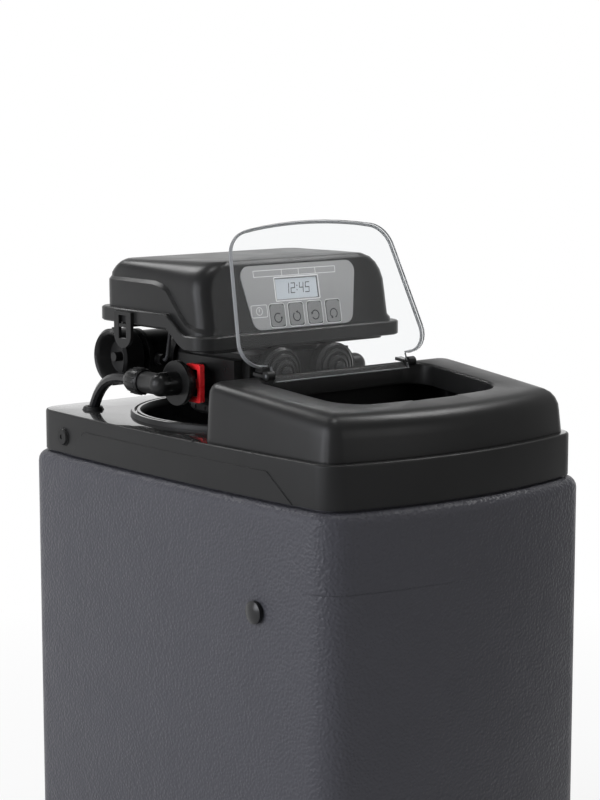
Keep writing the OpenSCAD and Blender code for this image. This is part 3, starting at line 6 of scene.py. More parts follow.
import bpy
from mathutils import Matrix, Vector


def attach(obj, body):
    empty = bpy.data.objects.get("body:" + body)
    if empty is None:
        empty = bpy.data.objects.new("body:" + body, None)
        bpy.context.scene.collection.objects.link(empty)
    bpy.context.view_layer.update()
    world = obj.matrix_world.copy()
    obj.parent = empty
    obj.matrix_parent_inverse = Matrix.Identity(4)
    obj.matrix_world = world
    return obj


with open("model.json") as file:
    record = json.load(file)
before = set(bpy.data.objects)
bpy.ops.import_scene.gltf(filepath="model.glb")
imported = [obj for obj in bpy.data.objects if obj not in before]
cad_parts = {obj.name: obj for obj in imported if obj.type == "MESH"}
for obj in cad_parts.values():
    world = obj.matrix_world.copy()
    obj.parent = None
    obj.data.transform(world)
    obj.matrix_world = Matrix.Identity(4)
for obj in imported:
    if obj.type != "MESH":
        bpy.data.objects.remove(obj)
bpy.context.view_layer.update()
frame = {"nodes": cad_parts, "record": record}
NODES = frame["nodes"]
SCENE = bpy.context.scene
MM = 0.001

# Places shared with the solids, in millimetres
DECK_H = 440.0
FACE_FOOT = 77.0
LID_AXIS_Y = -48.0
LID_AXIS_Z = 488.441
LID_HALF_T = 1.5

# Leans of the head's front face and of the lid at rest
FACE_LEAN = math.radians(11)
LID_LEAN = math.radians(20)


def collection_add(obj):
    SCENE.collection.objects.link(obj)
    return obj


# Shader nodes: each function adds nodes to a tree and gives the socket of their result


def noise(tree, coords, scale, detail=3.0, rough=0.55, stretch=None):
    source = coords
    if stretch:
        mapping = tree.nodes.new("ShaderNodeMapping")
        mapping.inputs["Scale"].default_value = stretch
        tree.links.new(coords, mapping.inputs["Vector"])
        source = mapping.outputs["Vector"]
    tex = tree.nodes.new("ShaderNodeTexNoise")
    tex.inputs["Scale"].default_value = scale
    tex.inputs["Detail"].default_value = detail
    tex.inputs["Roughness"].default_value = rough
    tree.links.new(source, tex.inputs["Vector"])
    return tex.outputs["Fac"]


def spread(tree, value, low, high, from_low=0.3, from_high=0.7):
    """Maps the span of a value onto another span, and holds it at both ends."""
    node = tree.nodes.new("ShaderNodeMapRange")
    node.inputs["From Min"].default_value = from_low
    node.inputs["From Max"].default_value = from_high
    node.inputs["To Min"].default_value = low
    node.inputs["To Max"].default_value = high
    tree.links.new(value, node.inputs["Value"])
    return node.outputs["Result"]


def calculate(tree, operation, first, second=None):
    node = tree.nodes.new("ShaderNodeMath")
    node.operation = operation
    tree.links.new(first, node.inputs[0])
    if second is not None:
        tree.links.new(second, node.inputs[1])
    return node.outputs[0]


def part_of(tree, vector, axis):
    split = tree.nodes.new("ShaderNodeSeparateXYZ")
    tree.links.new(vector, split.inputs[0])
    return split.outputs[axis]


def surface_normal(tree):
    """The direction that a surface faces, in its object's frame."""
    return tree.nodes.new("ShaderNodeTexCoord").outputs["Normal"]


def mix_colour(tree, fac, a, b):
    node = tree.nodes.new("ShaderNodeMix")
    node.data_type = "RGBA"
    node.inputs["A"].default_value = (*a, 1)
    node.inputs["B"].default_value = (*b, 1)
    tree.links.new(fac, node.inputs["Factor"])
    return node.outputs["Result"]


def bump(tree, height, shader, strength, distance, below=None):
    node = tree.nodes.new("ShaderNodeBump")
    node.inputs["Strength"].default_value = strength
    node.inputs["Distance"].default_value = distance
    tree.links.new(height, node.inputs["Height"])
    if below is not None:
        tree.links.new(below, node.inputs["Normal"])
    tree.links.new(node.outputs["Normal"], shader.inputs["Normal"])
    return node.outputs["Normal"]


def rise_of(tree, vector, low, high):
    """Rises from 0 to 1 as the vector's Z goes from low to high."""
    return spread(tree, part_of(tree, vector, "Z"), 0.0, 1.0, low, high)


def deck_mask(tree, coords, low, high):
    """1 on level faces above a height of the object, and 0 elsewhere."""
    tilted = 0.97
    level = 0.995
    above = rise_of(tree, coords, low, high)
    return calculate(tree, "MULTIPLY", above, rise_of(tree, surface_normal(tree), tilted, level))


def pebbles(tree, coords, size):
    """Rounded grains of about the given size, in metres, as a height."""
    cell_edge = 0.8
    tex = tree.nodes.new("ShaderNodeTexVoronoi")
    tex.feature = "SMOOTH_F1"
    tex.inputs["Scale"].default_value = 1 / size
    tree.links.new(coords, tex.inputs["Vector"])
    return spread(tree, tex.outputs["Distance"], 1.0, 0.0, 0.0, cell_edge)


# Materials: Principled surfaces whose colour and gloss vary by noise, waves, height or the way
# that a face points. Their lengths are in metres.

CLOUD_SCALE = 18.0
PATCH_SCALE = 45.0
BEVEL_SAMPLES = 4
LACQUER_ROUGH = 0.03


def new_material(name):
    mat = bpy.data.materials.new(name)
    mat.use_nodes = True
    tree = mat.node_tree
    tree.nodes.clear()
    out = tree.nodes.new("ShaderNodeOutputMaterial")
    shader = tree.nodes.new("ShaderNodeBsdfPrincipled")
    tree.links.new(shader.outputs["BSDF"], out.inputs["Surface"])
    coords = tree.nodes.new("ShaderNodeTexCoord")
    return mat, tree, shader, coords.outputs["Object"]


def grey(level):
    return (level, level, level)


def shaded(base, share):
    return [c * share for c in base]


def plastic(name, base, rough=(0.3, 0.4), shade=0.15, grain=900.0, depth=0.00003, strength=0.3,
            waves=None, level=0.25, edge=0.0006, polish=None):
    """A moulded plastic: cloudy colour, uneven gloss and a fine grain.

    rough is the span of its roughness, and shade the share by which its colour varies. grain,
    depth and strength are the fine grain's scale, depth and weight, and waves the size, weight
    and depth of a pebbled skin. level is the strength of the plain reflection, and edge the
    rounding that its edges show. Between the two heights of polish its level faces turn glossy.
    """
    mat, tree, shader, coords = new_material(name)
    cloud = noise(tree, coords, CLOUD_SCALE)
    colour = mix_colour(tree, cloud, shaded(base, 1 - shade), shaded(base, 1 + shade))
    tree.links.new(colour, shader.inputs["Base Color"])
    patches = noise(tree, coords, PATCH_SCALE, detail=5.0)
    tree.links.new(spread(tree, patches, *rough), shader.inputs["Roughness"])
    shader.inputs["Specular IOR Level"].default_value = level
    normal = None
    if edge:
        bevel = tree.nodes.new("ShaderNodeBevel")
        bevel.samples = BEVEL_SAMPLES
        bevel.inputs["Radius"].default_value = edge
        normal = bevel.outputs["Normal"]
    normal = bump(tree, noise(tree, coords, grain, detail=2.0), shader, strength, depth, below=normal)
    if waves:
        size, weight, rise = waves
        bump(tree, pebbles(tree, coords, size), shader, weight, rise, below=normal)
    if polish:
        tree.links.new(deck_mask(tree, coords, *polish), shader.inputs["Coat Weight"])
        shader.inputs["Coat Roughness"].default_value = LACQUER_ROUGH
    return mat


def clear_plate(name, faces, edges, plate_normal):
    """Clear acrylic: smooth faces with faint rub marks, and edge faces that are rougher, less clear and grey.
    The grey of the edges is painted light: it stands in for the light and dark lines that lit acrylic edges
    show.
    """
    edge_rough = 0.26
    rubbed_rough = 0.264
    edge_through = 0.5
    edge_facing = 0.80
    face_facing = 0.95
    mat, tree, shader, coords = new_material(name)
    dot = tree.nodes.new("ShaderNodeVectorMath")
    dot.operation = "DOT_PRODUCT"
    dot.inputs[1].default_value = plate_normal
    tree.links.new(surface_normal(tree), dot.inputs[0])
    facing = calculate(tree, "ABSOLUTE", dot.outputs["Value"])
    on_face = spread(tree, facing, 0.0, 1.0, edge_facing, face_facing)
    rub = noise(tree, coords, 60.0, detail=6.0, stretch=(1.0, 1.0, 6.0))
    marks = spread(tree, rub, edge_rough, rubbed_rough)
    polish = spread(tree, on_face, 0.0, edge_rough, 0.0, 1.0)
    tree.links.new(calculate(tree, "SUBTRACT", marks, polish), shader.inputs["Roughness"])
    # Painted light: grey on the edge faces, for the lines that lit acrylic edges show
    tree.links.new(mix_colour(tree, on_face, edges, faces), shader.inputs["Base Color"])
    through = spread(tree, on_face, edge_through, 1.0, 0.0, 1.0)
    tree.links.new(through, shader.inputs["Transmission Weight"])
    shader.inputs["IOR"].default_value = 1.32
    return mat


def painted_edge_glass(name, base, through):
    """Grey acrylic that lets a little light through: painted light for the line along a lit acrylic edge,
    lighter than a dark ground behind it and darker than a white one.
    """
    mat, tree, shader, coords = new_material(name)
    cloud = noise(tree, coords, 90.0)
    tree.links.new(mix_colour(tree, cloud, shaded(base, 0.96), base), shader.inputs["Base Color"])
    tree.links.new(spread(tree, cloud, 0.08, 0.14), shader.inputs["Roughness"])
    shader.inputs["Transmission Weight"].default_value = through
    shader.inputs["IOR"].default_value = 1.3
    return mat


def metal(name, base, rough):
    """Brushed metal, with fine lines along Z."""
    mat, tree, shader, coords = new_material(name)
    lines = noise(tree, coords, 300.0, stretch=(1.0, 1.0, 0.05))
    tree.links.new(mix_colour(tree, lines, shaded(base, 0.8), base), shader.inputs["Base Color"])
    tree.links.new(spread(tree, lines, *rough), shader.inputs["Roughness"])
    shader.inputs["Metallic"].default_value = 1.0
    return mat


def fibre(name, base):
    """Glass fibre: wavy bands, by turns dark and smooth, and light and dull."""
    mat, tree, shader, coords = new_material(name)
    wave = tree.nodes.new("ShaderNodeTexWave")
    wave.inputs["Scale"].default_value = 60.0
    wave.inputs["Distortion"].default_value = 1.5
    tree.links.new(coords, wave.inputs["Vector"])
    bands = wave.outputs["Fac"]
    tree.links.new(mix_colour(tree, bands, shaded(base, 0.75), base), shader.inputs["Base Color"])
    tree.links.new(spread(tree, bands, 0.3, 0.5, 0, 1), shader.inputs["Roughness"])
    bump(tree, bands, shader, 0.3, 0.0003)
    return mat


PLASTICS = {
    "cabinet_plastic": dict(base=(0.060, 0.060, 0.070), rough=(0.34, 0.46), shade=0.06, grain=1600.0,
                            depth=0.0001, waves=(0.0023, 1.0, 0.0006), level=0.2, edge=0.002),
    "cover_plastic": dict(base=grey(0.018), rough=(0.34, 0.42), depth=0.00001, level=0.15,
                          polish=(0.4396, 0.4399)),
    "collar_plastic": dict(base=grey(0.018), rough=(0.28, 0.35), grain=2200.0, level=0.18, edge=0.002),
    "head_plastic": dict(base=grey(0.016), rough=(0.28, 0.34), grain=2200.0, level=0.2),
    "valve_plastic": dict(base=grey(0.012), rough=(0.26, 0.38), grain=1600.0, level=0.22),
    "white_plastic": dict(base=(0.70, 0.69, 0.64), rough=(0.35, 0.5), shade=0.06, level=0.5),
    "red_clip": dict(base=(0.95, 0.03, 0.035), rough=(0.22, 0.32), shade=0.05, level=0.5),
    "black_tube": dict(base=(0.012, 0.012, 0.013), rough=(0.20, 0.28), level=0.4, edge=0),
    "plug_plastic": dict(base=(0.009, 0.009, 0.010), rough=(0.20, 0.26), level=0.35),
    "rubber": dict(base=grey(0.014), rough=(0.40, 0.55), level=0.3),
    "cable_grey": dict(base=(0.075, 0.075, 0.078), rough=(0.35, 0.45), edge=0),
    "ceramic": dict(base=(0.82, 0.80, 0.74), rough=(0.08, 0.14), shade=0.03, level=0.5),
    "panel_grey": dict(base=grey(0.36), rough=(0.30, 0.38), shade=0.05, grain=3000.0, edge=0),
    "key_grey": dict(base=grey(0.26), rough=(0.30, 0.40), shade=0.05, grain=3000.0),
    "lcd_glass": dict(base=(0.60, 0.64, 0.68), rough=(0.05, 0.09), shade=0.05, depth=0.0, level=0.5,
                      edge=0),
    "board_green": dict(base=(0.010, 0.11, 0.035), rough=(0.22, 0.32), level=0.5, edge=0),
    "print_white": dict(base=grey(0.80), rough=(0.4, 0.5), shade=0.03, edge=0),
    "print_dark": dict(base=(0.02, 0.022, 0.026), rough=(0.35, 0.45), shade=0.10, edge=0),
}
ACRYLIC_FACE = (0.95, 0.96, 0.965)
# Grey of the lid's edge faces and rim: painted light, for the lines that lit acrylic edges show
ACRYLIC_EDGE_PAINTED_LIGHT = (0.36, 0.37, 0.38)
LID_NORMAL = (0.0, -math.cos(LID_LEAN), math.sin(LID_LEAN))

MATERIALS = {name: plastic(name, **look) for name, look in PLASTICS.items()}
MATERIALS["clear_lid"] = clear_plate("clear_lid", ACRYLIC_FACE, ACRYLIC_EDGE_PAINTED_LIGHT, LID_NORMAL)
# The rim's grey, partly clear material: painted light along the lid's edge
MATERIALS["lid_rim_painted_edge"] = painted_edge_glass("lid_rim_painted_edge", ACRYLIC_EDGE_PAINTED_LIGHT, through=0.4)
MATERIALS["tank_shell"] = fibre("tank_shell", (0.50, 0.51, 0.48))
MATERIALS["motor_steel"] = metal("motor_steel", (0.55, 0.55, 0.56), rough=(0.3, 0.45))


# The solids: a material each, and even shading over their rounded forms

ROUND_BELOW = 32
CELLS_PER_METRE = 1e5
CELL_SHIFT = 0.337


def dress(obj, material):
    obj.data.materials.clear()
    obj.data.materials.append(MATERIALS[material])


def smooth(obj, degrees):
    """Smooth shading that keeps every edge sharper than the angle."""
    obj.data.polygons.foreach_set("use_smooth", [True] * len(obj.data.polygons))
    obj.data.set_sharp_from_angle(angle=math.radians(degrees))


def soften(obj, degrees):
    """Shades faces that meet at less than the angle as one round surface. No vertex moves.

    Corners that fall in one small cell of space count as one place, whichever vertices they
    use. The shift keeps round measures off the borders of the cells.
    """
    mesh = obj.data
    limit = math.cos(math.radians(degrees))
    places = [v.co for v in mesh.vertices]
    meets = defaultdict(list)
    for face in mesh.polygons:
        corners = list(face.loop_indices)
        spots = [places[mesh.loops[c].vertex_index] for c in corners]
        for k, corner in enumerate(corners):
            before = spots[k - 1] - spots[k]
            after = spots[(k + 1) % len(spots)] - spots[k]
            cell = tuple(round(c * CELLS_PER_METRE + CELL_SHIFT) for c in spots[k])
            meets[cell].append((corner, face.normal.copy(), before.angle(after, 0.0)))
    normals = [(0.0, 0.0, 1.0)] * len(mesh.loops)
    for group in meets.values():
        for corner, normal, _ in group:
            total = Vector()
            for _, other, weight in group:
                if other.dot(normal) > limit:
                    total += other * weight
            normals[corner] = total.normalized() if total.length > 0 else normal
    mesh.polygons.foreach_set("use_smooth", [True] * len(mesh.polygons))
    mesh.normals_split_custom_set(normals)


SLOT_OF = {part["node"]: part["material_slot"] for part in frame["record"]["subparts"]}
for node_name, node_obj in NODES.items():
    dress(node_obj, SLOT_OF[node_name])
    soften(node_obj, ROUND_BELOW)
dress(NODES["side_plug"], "plug_plastic")


# Small pieces made here, all measured in millimetres


def mesh_piece(name, verts, faces, body, slot, material=None):
    """A mesh that moves with a body, with the slot's material if no other material is given."""
    mesh = bpy.data.meshes.new(name)
    mesh.from_pydata([Vector(v) * MM for v in verts], [], faces)
    mesh.validate()
    obj = collection_add(bpy.data.objects.new(name, mesh))
    dress(obj, material or slot)
    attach(obj, body)
    return obj


def hit(node, start, aim):
    """Where a ray meets a node, and the node's normal there."""
    _, place, normal, _ = NODES[node].ray_cast(start * MM, aim)
    return place / MM, normal


def arc(cx, cy, r, start, end, steps=12):
    """Points of an arc from one angle to another, in degrees."""
    turns = [math.radians(start + (end - start) * s / steps) for s in range(steps + 1)]
    return [(cx + r * math.cos(a), cy + r * math.sin(a)) for a in turns]


def rounded_rect(cx, cy, w, h, r):
    points = []
    for side_x, side_y, start in ((1, -1, -90), (1, 1, 0), (-1, 1, 90), (-1, -1, 180)):
        points += arc(cx + side_x * (w / 2 - r), cy + side_y * (h / 2 - r), r, start, start + 90, steps=5)
    return points


def circle(cx, cy, r):
    return arc(cx, cy, r, 0, 360, steps=32)[:-1]


def face_point(x, up, out):
    """A point on the head's leaning front face: across, up the face from its foot, and outward."""
    y = up * math.sin(FACE_LEAN) - out * math.cos(FACE_LEAN)
    z = DECK_H + FACE_FOOT + up * math.cos(FACE_LEAN) + out * math.sin(FACE_LEAN)
    return (x, y, z)


class Print:
    """Raised print on the front face: closed outlines and solid patches, gathered in one mesh."""

    least_r = 0.05

    def __init__(self, base, height):
        self.verts = []
        self.faces = []
        self.levels = (base, base + height)

    def add_ring(self, outer, inner):
        start = len(self.verts)
        n = len(outer)
        for out in self.levels:
            for loop in (outer, inner):
                self.verts += [face_point(x, y, out) for x, y in loop]
        low_out, low_in, high_out, high_in = (start + k * n for k in range(4))
        for i in range(n):
            j = (i + 1) % n
            self.faces += [
                (high_out + i, high_out + j, high_in + j, high_in + i),
                (low_out + i, low_out + j, high_out + j, high_out + i),
                (high_in + i, high_in + j, low_in + j, low_in + i),
            ]

    def outline(self, cx, cy, w, h, r, line):
        inner_r = max(self.least_r, r - line)
        inner = rounded_rect(cx, cy, w - 2 * line, h - 2 * line, inner_r)
        self.add_ring(rounded_rect(cx, cy, w, h, r), inner)

    def circle_line(self, cx, cy, r, line):
        self.add_ring(circle(cx, cy, r), circle(cx, cy, r - line))

    def patch(self, points):
        start = len(self.verts)
        n = len(points)
        for out in self.levels:
            self.verts += [face_point(x, y, out) for x, y in points]
        self.faces.append(tuple(start + n + i for i in range(n)))
        for i in range(n):
            j = (i + 1) % n
            self.faces.append((start + i, start + j, start + n + j, start + n + i))

    def bar(self, x0, y0, x1, y1):
        self.patch([(x0, y0), (x1, y0), (x1, y1), (x0, y1)])

    def build(self, name, body, slot, material):
        return mesh_piece(name, self.verts, self.faces, body, slot, material)


# Panel art: places across and up the front face, and how far out each print starts
PANEL_PRINT_OUT = 0.85
KEY_PRINT_OUT = 1.25
DIGITS_OUT = -0.02
LCD_X = -3.5
LCD_Y = 34.0
LCD_W = 45.0
LCD_H = 17.5
KEY_COUNT = 4
KEY_MID = 2.5
KEY_PITCH = 20.0
KEY_Y = 12.5
KEY_W = 15.0
KEY_H = 18.0
ICON_X = -46.0
ICON_Y = 17.0
LINE = 0.5


def key_x(i):
    return KEY_MID + (i - 1.5) * KEY_PITCH


def panel_print():
    """White outlines: round the display and the keys, a dial icon, and a strip of four fields."""
    art = Print(PANEL_PRINT_OUT, 0.06)
    lcd_margin = 3
    key_margin = 2.4
    pointer_half = 0.3
    pointer_down = 0.6
    pointer_up = 2.0
    strip_y = 47.6
    tick_half = 2.3
    art.outline(LCD_X, LCD_Y, w=LCD_W + lcd_margin, h=LCD_H + lcd_margin, r=1.2, line=0.9)
    for i in range(KEY_COUNT):
        art.outline(key_x(i), KEY_Y, w=KEY_W + key_margin, h=KEY_H + key_margin, r=3.4, line=LINE)
    art.outline(ICON_X, ICON_Y, w=17.0, h=10.5, r=1.5, line=LINE)
    art.circle_line(ICON_X, ICON_Y, r=3.4, line=LINE)
    art.bar(ICON_X - pointer_half, ICON_Y - pointer_down, ICON_X + pointer_half, ICON_Y + pointer_up)
    art.outline(-4.0, strip_y, w=88.0, h=5.6, r=0.6, line=LINE)
    for x in (-18.0, 0.0, 18.0):
        art.bar(x - LINE / 2, strip_y - tick_half, x + LINE / 2, strip_y + tick_half)
    return art.build("panel_print", "root", "panel_grey", "print_white")


def key_print(i):
    """A dark ring with a gap and a pointed end on each key, turned further from key to key."""
    outer_r = 4.2
    inner_r = 3.3
    steps = 28
    span = 300
    tip_half = 1.3
    tip_len = 2.0
    x = key_x(i)
    y = KEY_Y - 2.0
    start = 50 + 80 * i
    art = Print(KEY_PRINT_OUT, 0.05)
    outer = arc(x, y, outer_r, start, start + span, steps)
    inner = arc(x, y, inner_r, start, start + span, steps)
    for s in range(steps):
        art.patch([outer[s], outer[s + 1], inner[s + 1], inner[s]])
    turn = math.radians(start + span)
    out = Vector((math.cos(turn), math.sin(turn)))
    along = Vector((-math.sin(turn), math.cos(turn)))
    foot = Vector((x, y)) + out * (outer_r + inner_r) / 2
    art.patch([tuple(foot + out * tip_half), tuple(foot + along * tip_len), tuple(foot - out * tip_half)])
    return art.build(f"key_print_{i + 1}", f"key_body_{i + 1}", "key_grey", "print_dark")


SEGMENTS = {"1": "bc", "2": "abged", "4": "fgbc", "5": "afgcd"}


def display_digits(text, x, y, w, h, t):
    """Seven-segment digits on the display, w wide and h high, with bars t thick."""
    slant = 0.10
    gap = 0.12
    pitch = w + 1.6
    art = Print(DIGITS_OUT, 0.04)
    bars = {
        "a": (0, h - t, w, h),
        "b": (w - t, h / 2, w, h),
        "c": (w - t, 0, w, h / 2),
        "d": (0, 0, w, t),
        "e": (0, 0, t, h / 2),
        "f": (0, h / 2, t, h),
        "g": (0, h / 2 - t / 2, w, h / 2 + t / 2),
    }
    for char in text:
        if char == ":":
            for up in (0.3 * h, 0.7 * h):
                left = x + slant * up
                art.bar(left, y + up - t / 2, left + t, y + up + t / 2)
            x += 3 * t
            continue
        for key in SEGMENTS[char]:
            x0, y0, x1, y1 = bars[key]
            corners = ((x0 + gap, y0 + gap), (x1 - gap, y0 + gap), (x1 - gap, y1 - gap), (x0 + gap, y1 - gap))
            art.patch([(x + px + slant * py, y + py) for px, py in corners])
        x += pitch
    return art.build("display_digits", "root", "lcd_glass", "print_dark")


panel_print()
for key_index in range(KEY_COUNT):
    key_print(key_index)
display_digits("12:45", x=LCD_X - 13.0, y=LCD_Y - 4.2, w=4.8, h=9.0, t=0.9)


def revolve(name, profile, axis_point, axis, body, slot, steps=96):
    """A closed profile of (radius, along) pairs turned round an axis."""
    axis = Vector(axis).normalized()
    side = axis.orthogonal().normalized()
    other = axis.cross(side)
    base = Vector(axis_point)
    verts = []
    faces = []
    n = len(profile)
    for s in range(steps):
        a = 2 * math.pi * s / steps
        spoke = side * math.cos(a) + other * math.sin(a)
        verts += [base + spoke * r + axis * h for r, h in profile]
    for s in range(steps):
        t = (s + 1) % steps
        faces += [(s * n + k, s * n + (k + 1) % n, t * n + (k + 1) % n, t * n + k) for k in range(n)]
    obj = mesh_piece(name, verts, faces, body, slot)
    smooth(obj, 30)
    return obj


def thread(name, radius, depth, pitch, length, start, axis, body, slot):
    """Thread ridges on a pipe end, as rings with sloping flanks that reach into the pipe."""
    sunk = 0.4
    foot = 0.1 * pitch
    crest = 0.42 * pitch
    count = int(length / pitch)
    profile = [(radius - sunk, 0.0)]
    for k in range(count):
        h = k * pitch
        profile += [
            (radius, h + foot),
            (radius + depth, h + crest),
            (radius + depth, h + pitch - crest),
            (radius, h + pitch - foot),
        ]
    profile.append((radius - sunk, count * pitch))
    return revolve(name, profile, start, axis, body, slot)


def tube(name, path, radius, body, slot, material, sides=10):
    """A round bead along an open path of points, narrowed to half at both ends."""
    verts = []
    faces = []
    up = None
    for k, point in enumerate(path):
        along = (path[min(k + 1, len(path) - 1)] - path[max(k - 1, 0)]).normalized()
        up = along.orthogonal().normalized() if up is None else (up - along * up.dot(along)).normalized()
        side = along.cross(up)
        reach = radius * (0.5 if k in (0, len(path) - 1) else 1.0)
        for a in range(sides):
            turn = 2 * math.pi * a / sides
            verts.append(point + (up * math.cos(turn) + side * math.sin(turn)) * reach)
    for k in range(len(path) - 1):
        for a in range(sides):
            b = (a + 1) % sides
            faces.append((k * sides + a, k * sides + b, (k + 1) * sides + b, (k + 1) * sides + a))
    last = (len(path) - 1) * sides
    faces += [tuple(range(sides))[::-1], tuple(last + a for a in range(sides))]
    obj = mesh_piece(name, verts, faces, body, slot, material)
    smooth(obj, 50)
    return obj


def lid_point(x, up, out):
    """A point of the lid at rest: across, up from its axis, and out from its middle plane to the rear."""
    y = LID_AXIS_Y + up * math.sin(LID_LEAN) + out * math.cos(LID_LEAN)
    z = LID_AXIS_Z + up * math.cos(LID_LEAN) - out * math.sin(LID_LEAN)
    return Vector((x, y, z))


def lid_rim_painted_edge():
    """The raised rim on the outer face of the lid: round its outline, but not along the hinge tab. Its grey
    material is painted light, for the light and dark line that the lid's edge shows.
    """
    bead = 1.2
    clear = 0.05
    half_w = 98.5
    half_tip = 87.0
    length = 126.0
    root_r = 19.0
    tip_r = 24.0
    arch = 5.0
    rise = 7.5
    tab_end = 74.0
    steps = 12
    root_x = half_w - root_r
    tip_x = half_tip - tip_r
    root_up = rise + root_r
    tip_up = length - arch - tip_r
    tilt = math.degrees(math.atan2(root_x - tip_x + root_r - tip_r, tip_up - root_up))
    crown = math.atan(4 * arch / (2 * tip_x))
    right = [(tab_end, rise + bead)]
    right += arc(root_x, root_up, root_r - bead, -90, tilt, steps)
    right += arc(tip_x, tip_up, tip_r - bead, tilt, 90 - math.degrees(crown), steps)
    top = []
    for s in range(1, steps):
        t = s / steps
        x = (1 - 2 * t) * (tip_x + math.sin(crown) * (tip_r - bead))
        top.append((x, tip_up + tip_r - bead + 4 * arch * t * (1 - t)))
    left = [(-x, up) for x, up in reversed(right)]
    out = LID_HALF_T + bead + clear
    path = [lid_point(x, up, out) for x, up in right + top + left]
    return tube("lid_rim_painted_edge", path, bead, "lid", "clear_lid", "lid_rim_painted_edge")


def tab_highlight_line():
    """A light grey bead along the lower edge of the hinge tab: a painted highlight for its lit edge."""
    half = 71.6
    up = -5.5
    out = -1.2
    steps = 24
    path = [lid_point(-half + 2 * half * s / steps, up, out) for s in range(steps + 1)]
    return tube("lid_tab_painted_highlight", path, 0.45, "lid", "clear_lid", "lid_rim_painted_edge", sides=8)


lid_rim_painted_edge()
tab_highlight_line()


def parting_line():
    """The faint raised line that the mould left round the front left corner of the cabinet."""
    height = 343.0
    half = 0.35
    crest = 0.4
    proud = 0.16
    sunk = 0.2
    far = 200
    steps = 20
    fade_in = 4
    fade_out = 10
    centre = Vector((-109.0, -168.0, height))
    rays = []
    for s in range(steps + 1):
        a = math.radians(178 + 90 * s / steps)
        outward = Vector((math.cos(a), math.sin(a), 0))
        rays.append((centre + outward * far, -outward))
    rays += [(Vector((x, -400.0, height)), Vector((0, 1, 0))) for x in range(-105, -5, 5)]
    rise = Vector((0, 0, half))
    verts = []
    faces = []
    for k, (start, aim) in enumerate(rays):
        place, normal = hit("cabinet", start, aim)
        share = min(1.0, k / fade_in, (len(rays) - 1 - k) / fade_out)
        inner = place - normal * sunk
        outer = place + normal * proud * share
        verts += [inner - rise, outer - rise * crest, outer + rise * crest, inner + rise]
    for k in range(len(rays) - 1):
        a = 4 * k
        b = a + 4
        faces += [(a + i, b + i, b + (i + 1) % 4, a + (i + 1) % 4) for i in range(4)]
    last = 4 * (len(rays) - 1)
    faces += [(3, 2, 1, 0), (last, last + 1, last + 2, last + 3)]
    return mesh_piece("parting_line", verts, faces, "root", "cabinet_plastic")


def dome(name, centre, radius, height, slot, squash=1.0, material=None):
    """A small round pip, narrower along Y by the squash."""
    rings = 5
    sides = 24
    centre = Vector(centre)
    verts = []
    faces = []
    for r in range(rings):
        a = math.radians(90 * r / rings)
        reach = radius * math.cos(a)
        for k in range(sides):
            t = 2 * math.pi * k / sides
            offset = (reach * math.cos(t), squash * reach * math.sin(t), height * math.sin(a))
            verts.append(centre + Vector(offset))
    verts.append(centre + Vector((0, 0, height)))
    for r in range(rings - 1):
        for k in range(sides):
            j = (k + 1) % sides
            faces.append((r * sides + k, r * sides + j, (r + 1) * sides + j, (r + 1) * sides + k))
    top = (rings - 1) * sides
    faces += [(top + k, top + (k + 1) % sides, rings * sides) for k in range(sides)]
    faces.append(tuple(range(sides))[::-1])
    obj = mesh_piece(name, verts, faces, "root", slot, material)
    smooth(obj, 60)
    return obj


def on_top(node, x, y):
    """The point of a node's upper side over x and y."""
    above = 900.0
    return hit(node, Vector((x, y, above)), Vector((0, 0, -1)))[0]


parting_line()
dome("deck_pip", (-135.9, -27.0, 439.9), radius=1.8, height=1.3, slot="cover_plastic")
# A flat dark patch on the head's top: painted shade for the dark hollow of its slit
dome("head_slit_painted_shade", on_top("head_cover", -31.0, 31.3), radius=4.5, height=0.15, slot="head_plastic",
     squash=0.16, material="print_dark")


def panel_edge():
    """The rounded edge of the raised panel on the left of the skirt."""
    foot = 406.6
    top = 428.0
    half = 147.0
    front_slant = 28.5
    rear_slant = 19.0
    corner = 5
    corner_steps = 8
    step = 6
    beside = -400.0
    lift = Vector((0.1, 0, 0))
    corners = [
        Vector((-half, foot)),
        Vector((-half + front_slant, top)),
        Vector((half - rear_slant, top)),
        Vector((half, foot)),
    ]
    run = [corners[0]]
    for a, b, c in zip(corners, corners[1:], corners[2:]):
        near = b + (a - b).normalized() * corner
        far = b + (c - b).normalized() * corner
        for k in range(corner_steps + 1):
            t = k / corner_steps
            run.append(near.lerp(b, t).lerp(b.lerp(far, t), t))
    run.append(corners[-1])
    path = []
    for a, b in zip(run, run[1:]):
        steps = max(1, int((b - a).length / step))
        path += [a.lerp(b, k / steps) for k in range(steps)]
    path.append(run[-1])
    spots = [hit("top_cover", Vector((beside, y, z)), Vector((1, 0, 0)))[0] + lift for y, z in path]
    return tube("panel_edge", spots, 0.45, "root", "cover_plastic", "cover_plastic", sides=8)


panel_edge()

# Where the threads of the two pipe ends start
PIPE_X = 30.0
PIPE_Y = 175.0
PIPE_UP = 46.0

for side_name, x in (("inlet", PIPE_X), ("outlet", -PIPE_X)):
    thread(f"{side_name}_thread", radius=13.2, depth=0.6, pitch=1.8, length=21.0,
           start=(x, PIPE_Y, DECK_H + PIPE_UP), axis=(0, 1, 0), body="root", slot="valve_plastic")


# Stage: pale floor, white surroundings, soft lamps and the camera of the photograph, in metres

ROOM_LEVEL = 0.17
WHITE = (1, 1, 1, 1)


def white_to_view(tree, shader_socket, gloss_share, share=None):
    """Mixes a shader with plain white for what the camera and glass see, and by a share for gloss."""
    path = tree.nodes.new("ShaderNodeLightPath")
    seen = calculate(tree, "MAXIMUM", path.outputs["Is Camera Ray"], path.outputs["Is Transmission Ray"])
    gloss = calculate(tree, "MULTIPLY", path.outputs["Is Glossy Ray"], gloss_share)
    seen = calculate(tree, "MAXIMUM", seen, gloss)
    if share is not None:
        seen = calculate(tree, "MULTIPLY", seen, share)
    mix = tree.nodes.new("ShaderNodeMixShader")
    tree.links.new(seen, mix.inputs["Fac"])
    tree.links.new(shader_socket, mix.inputs[1])
    return mix


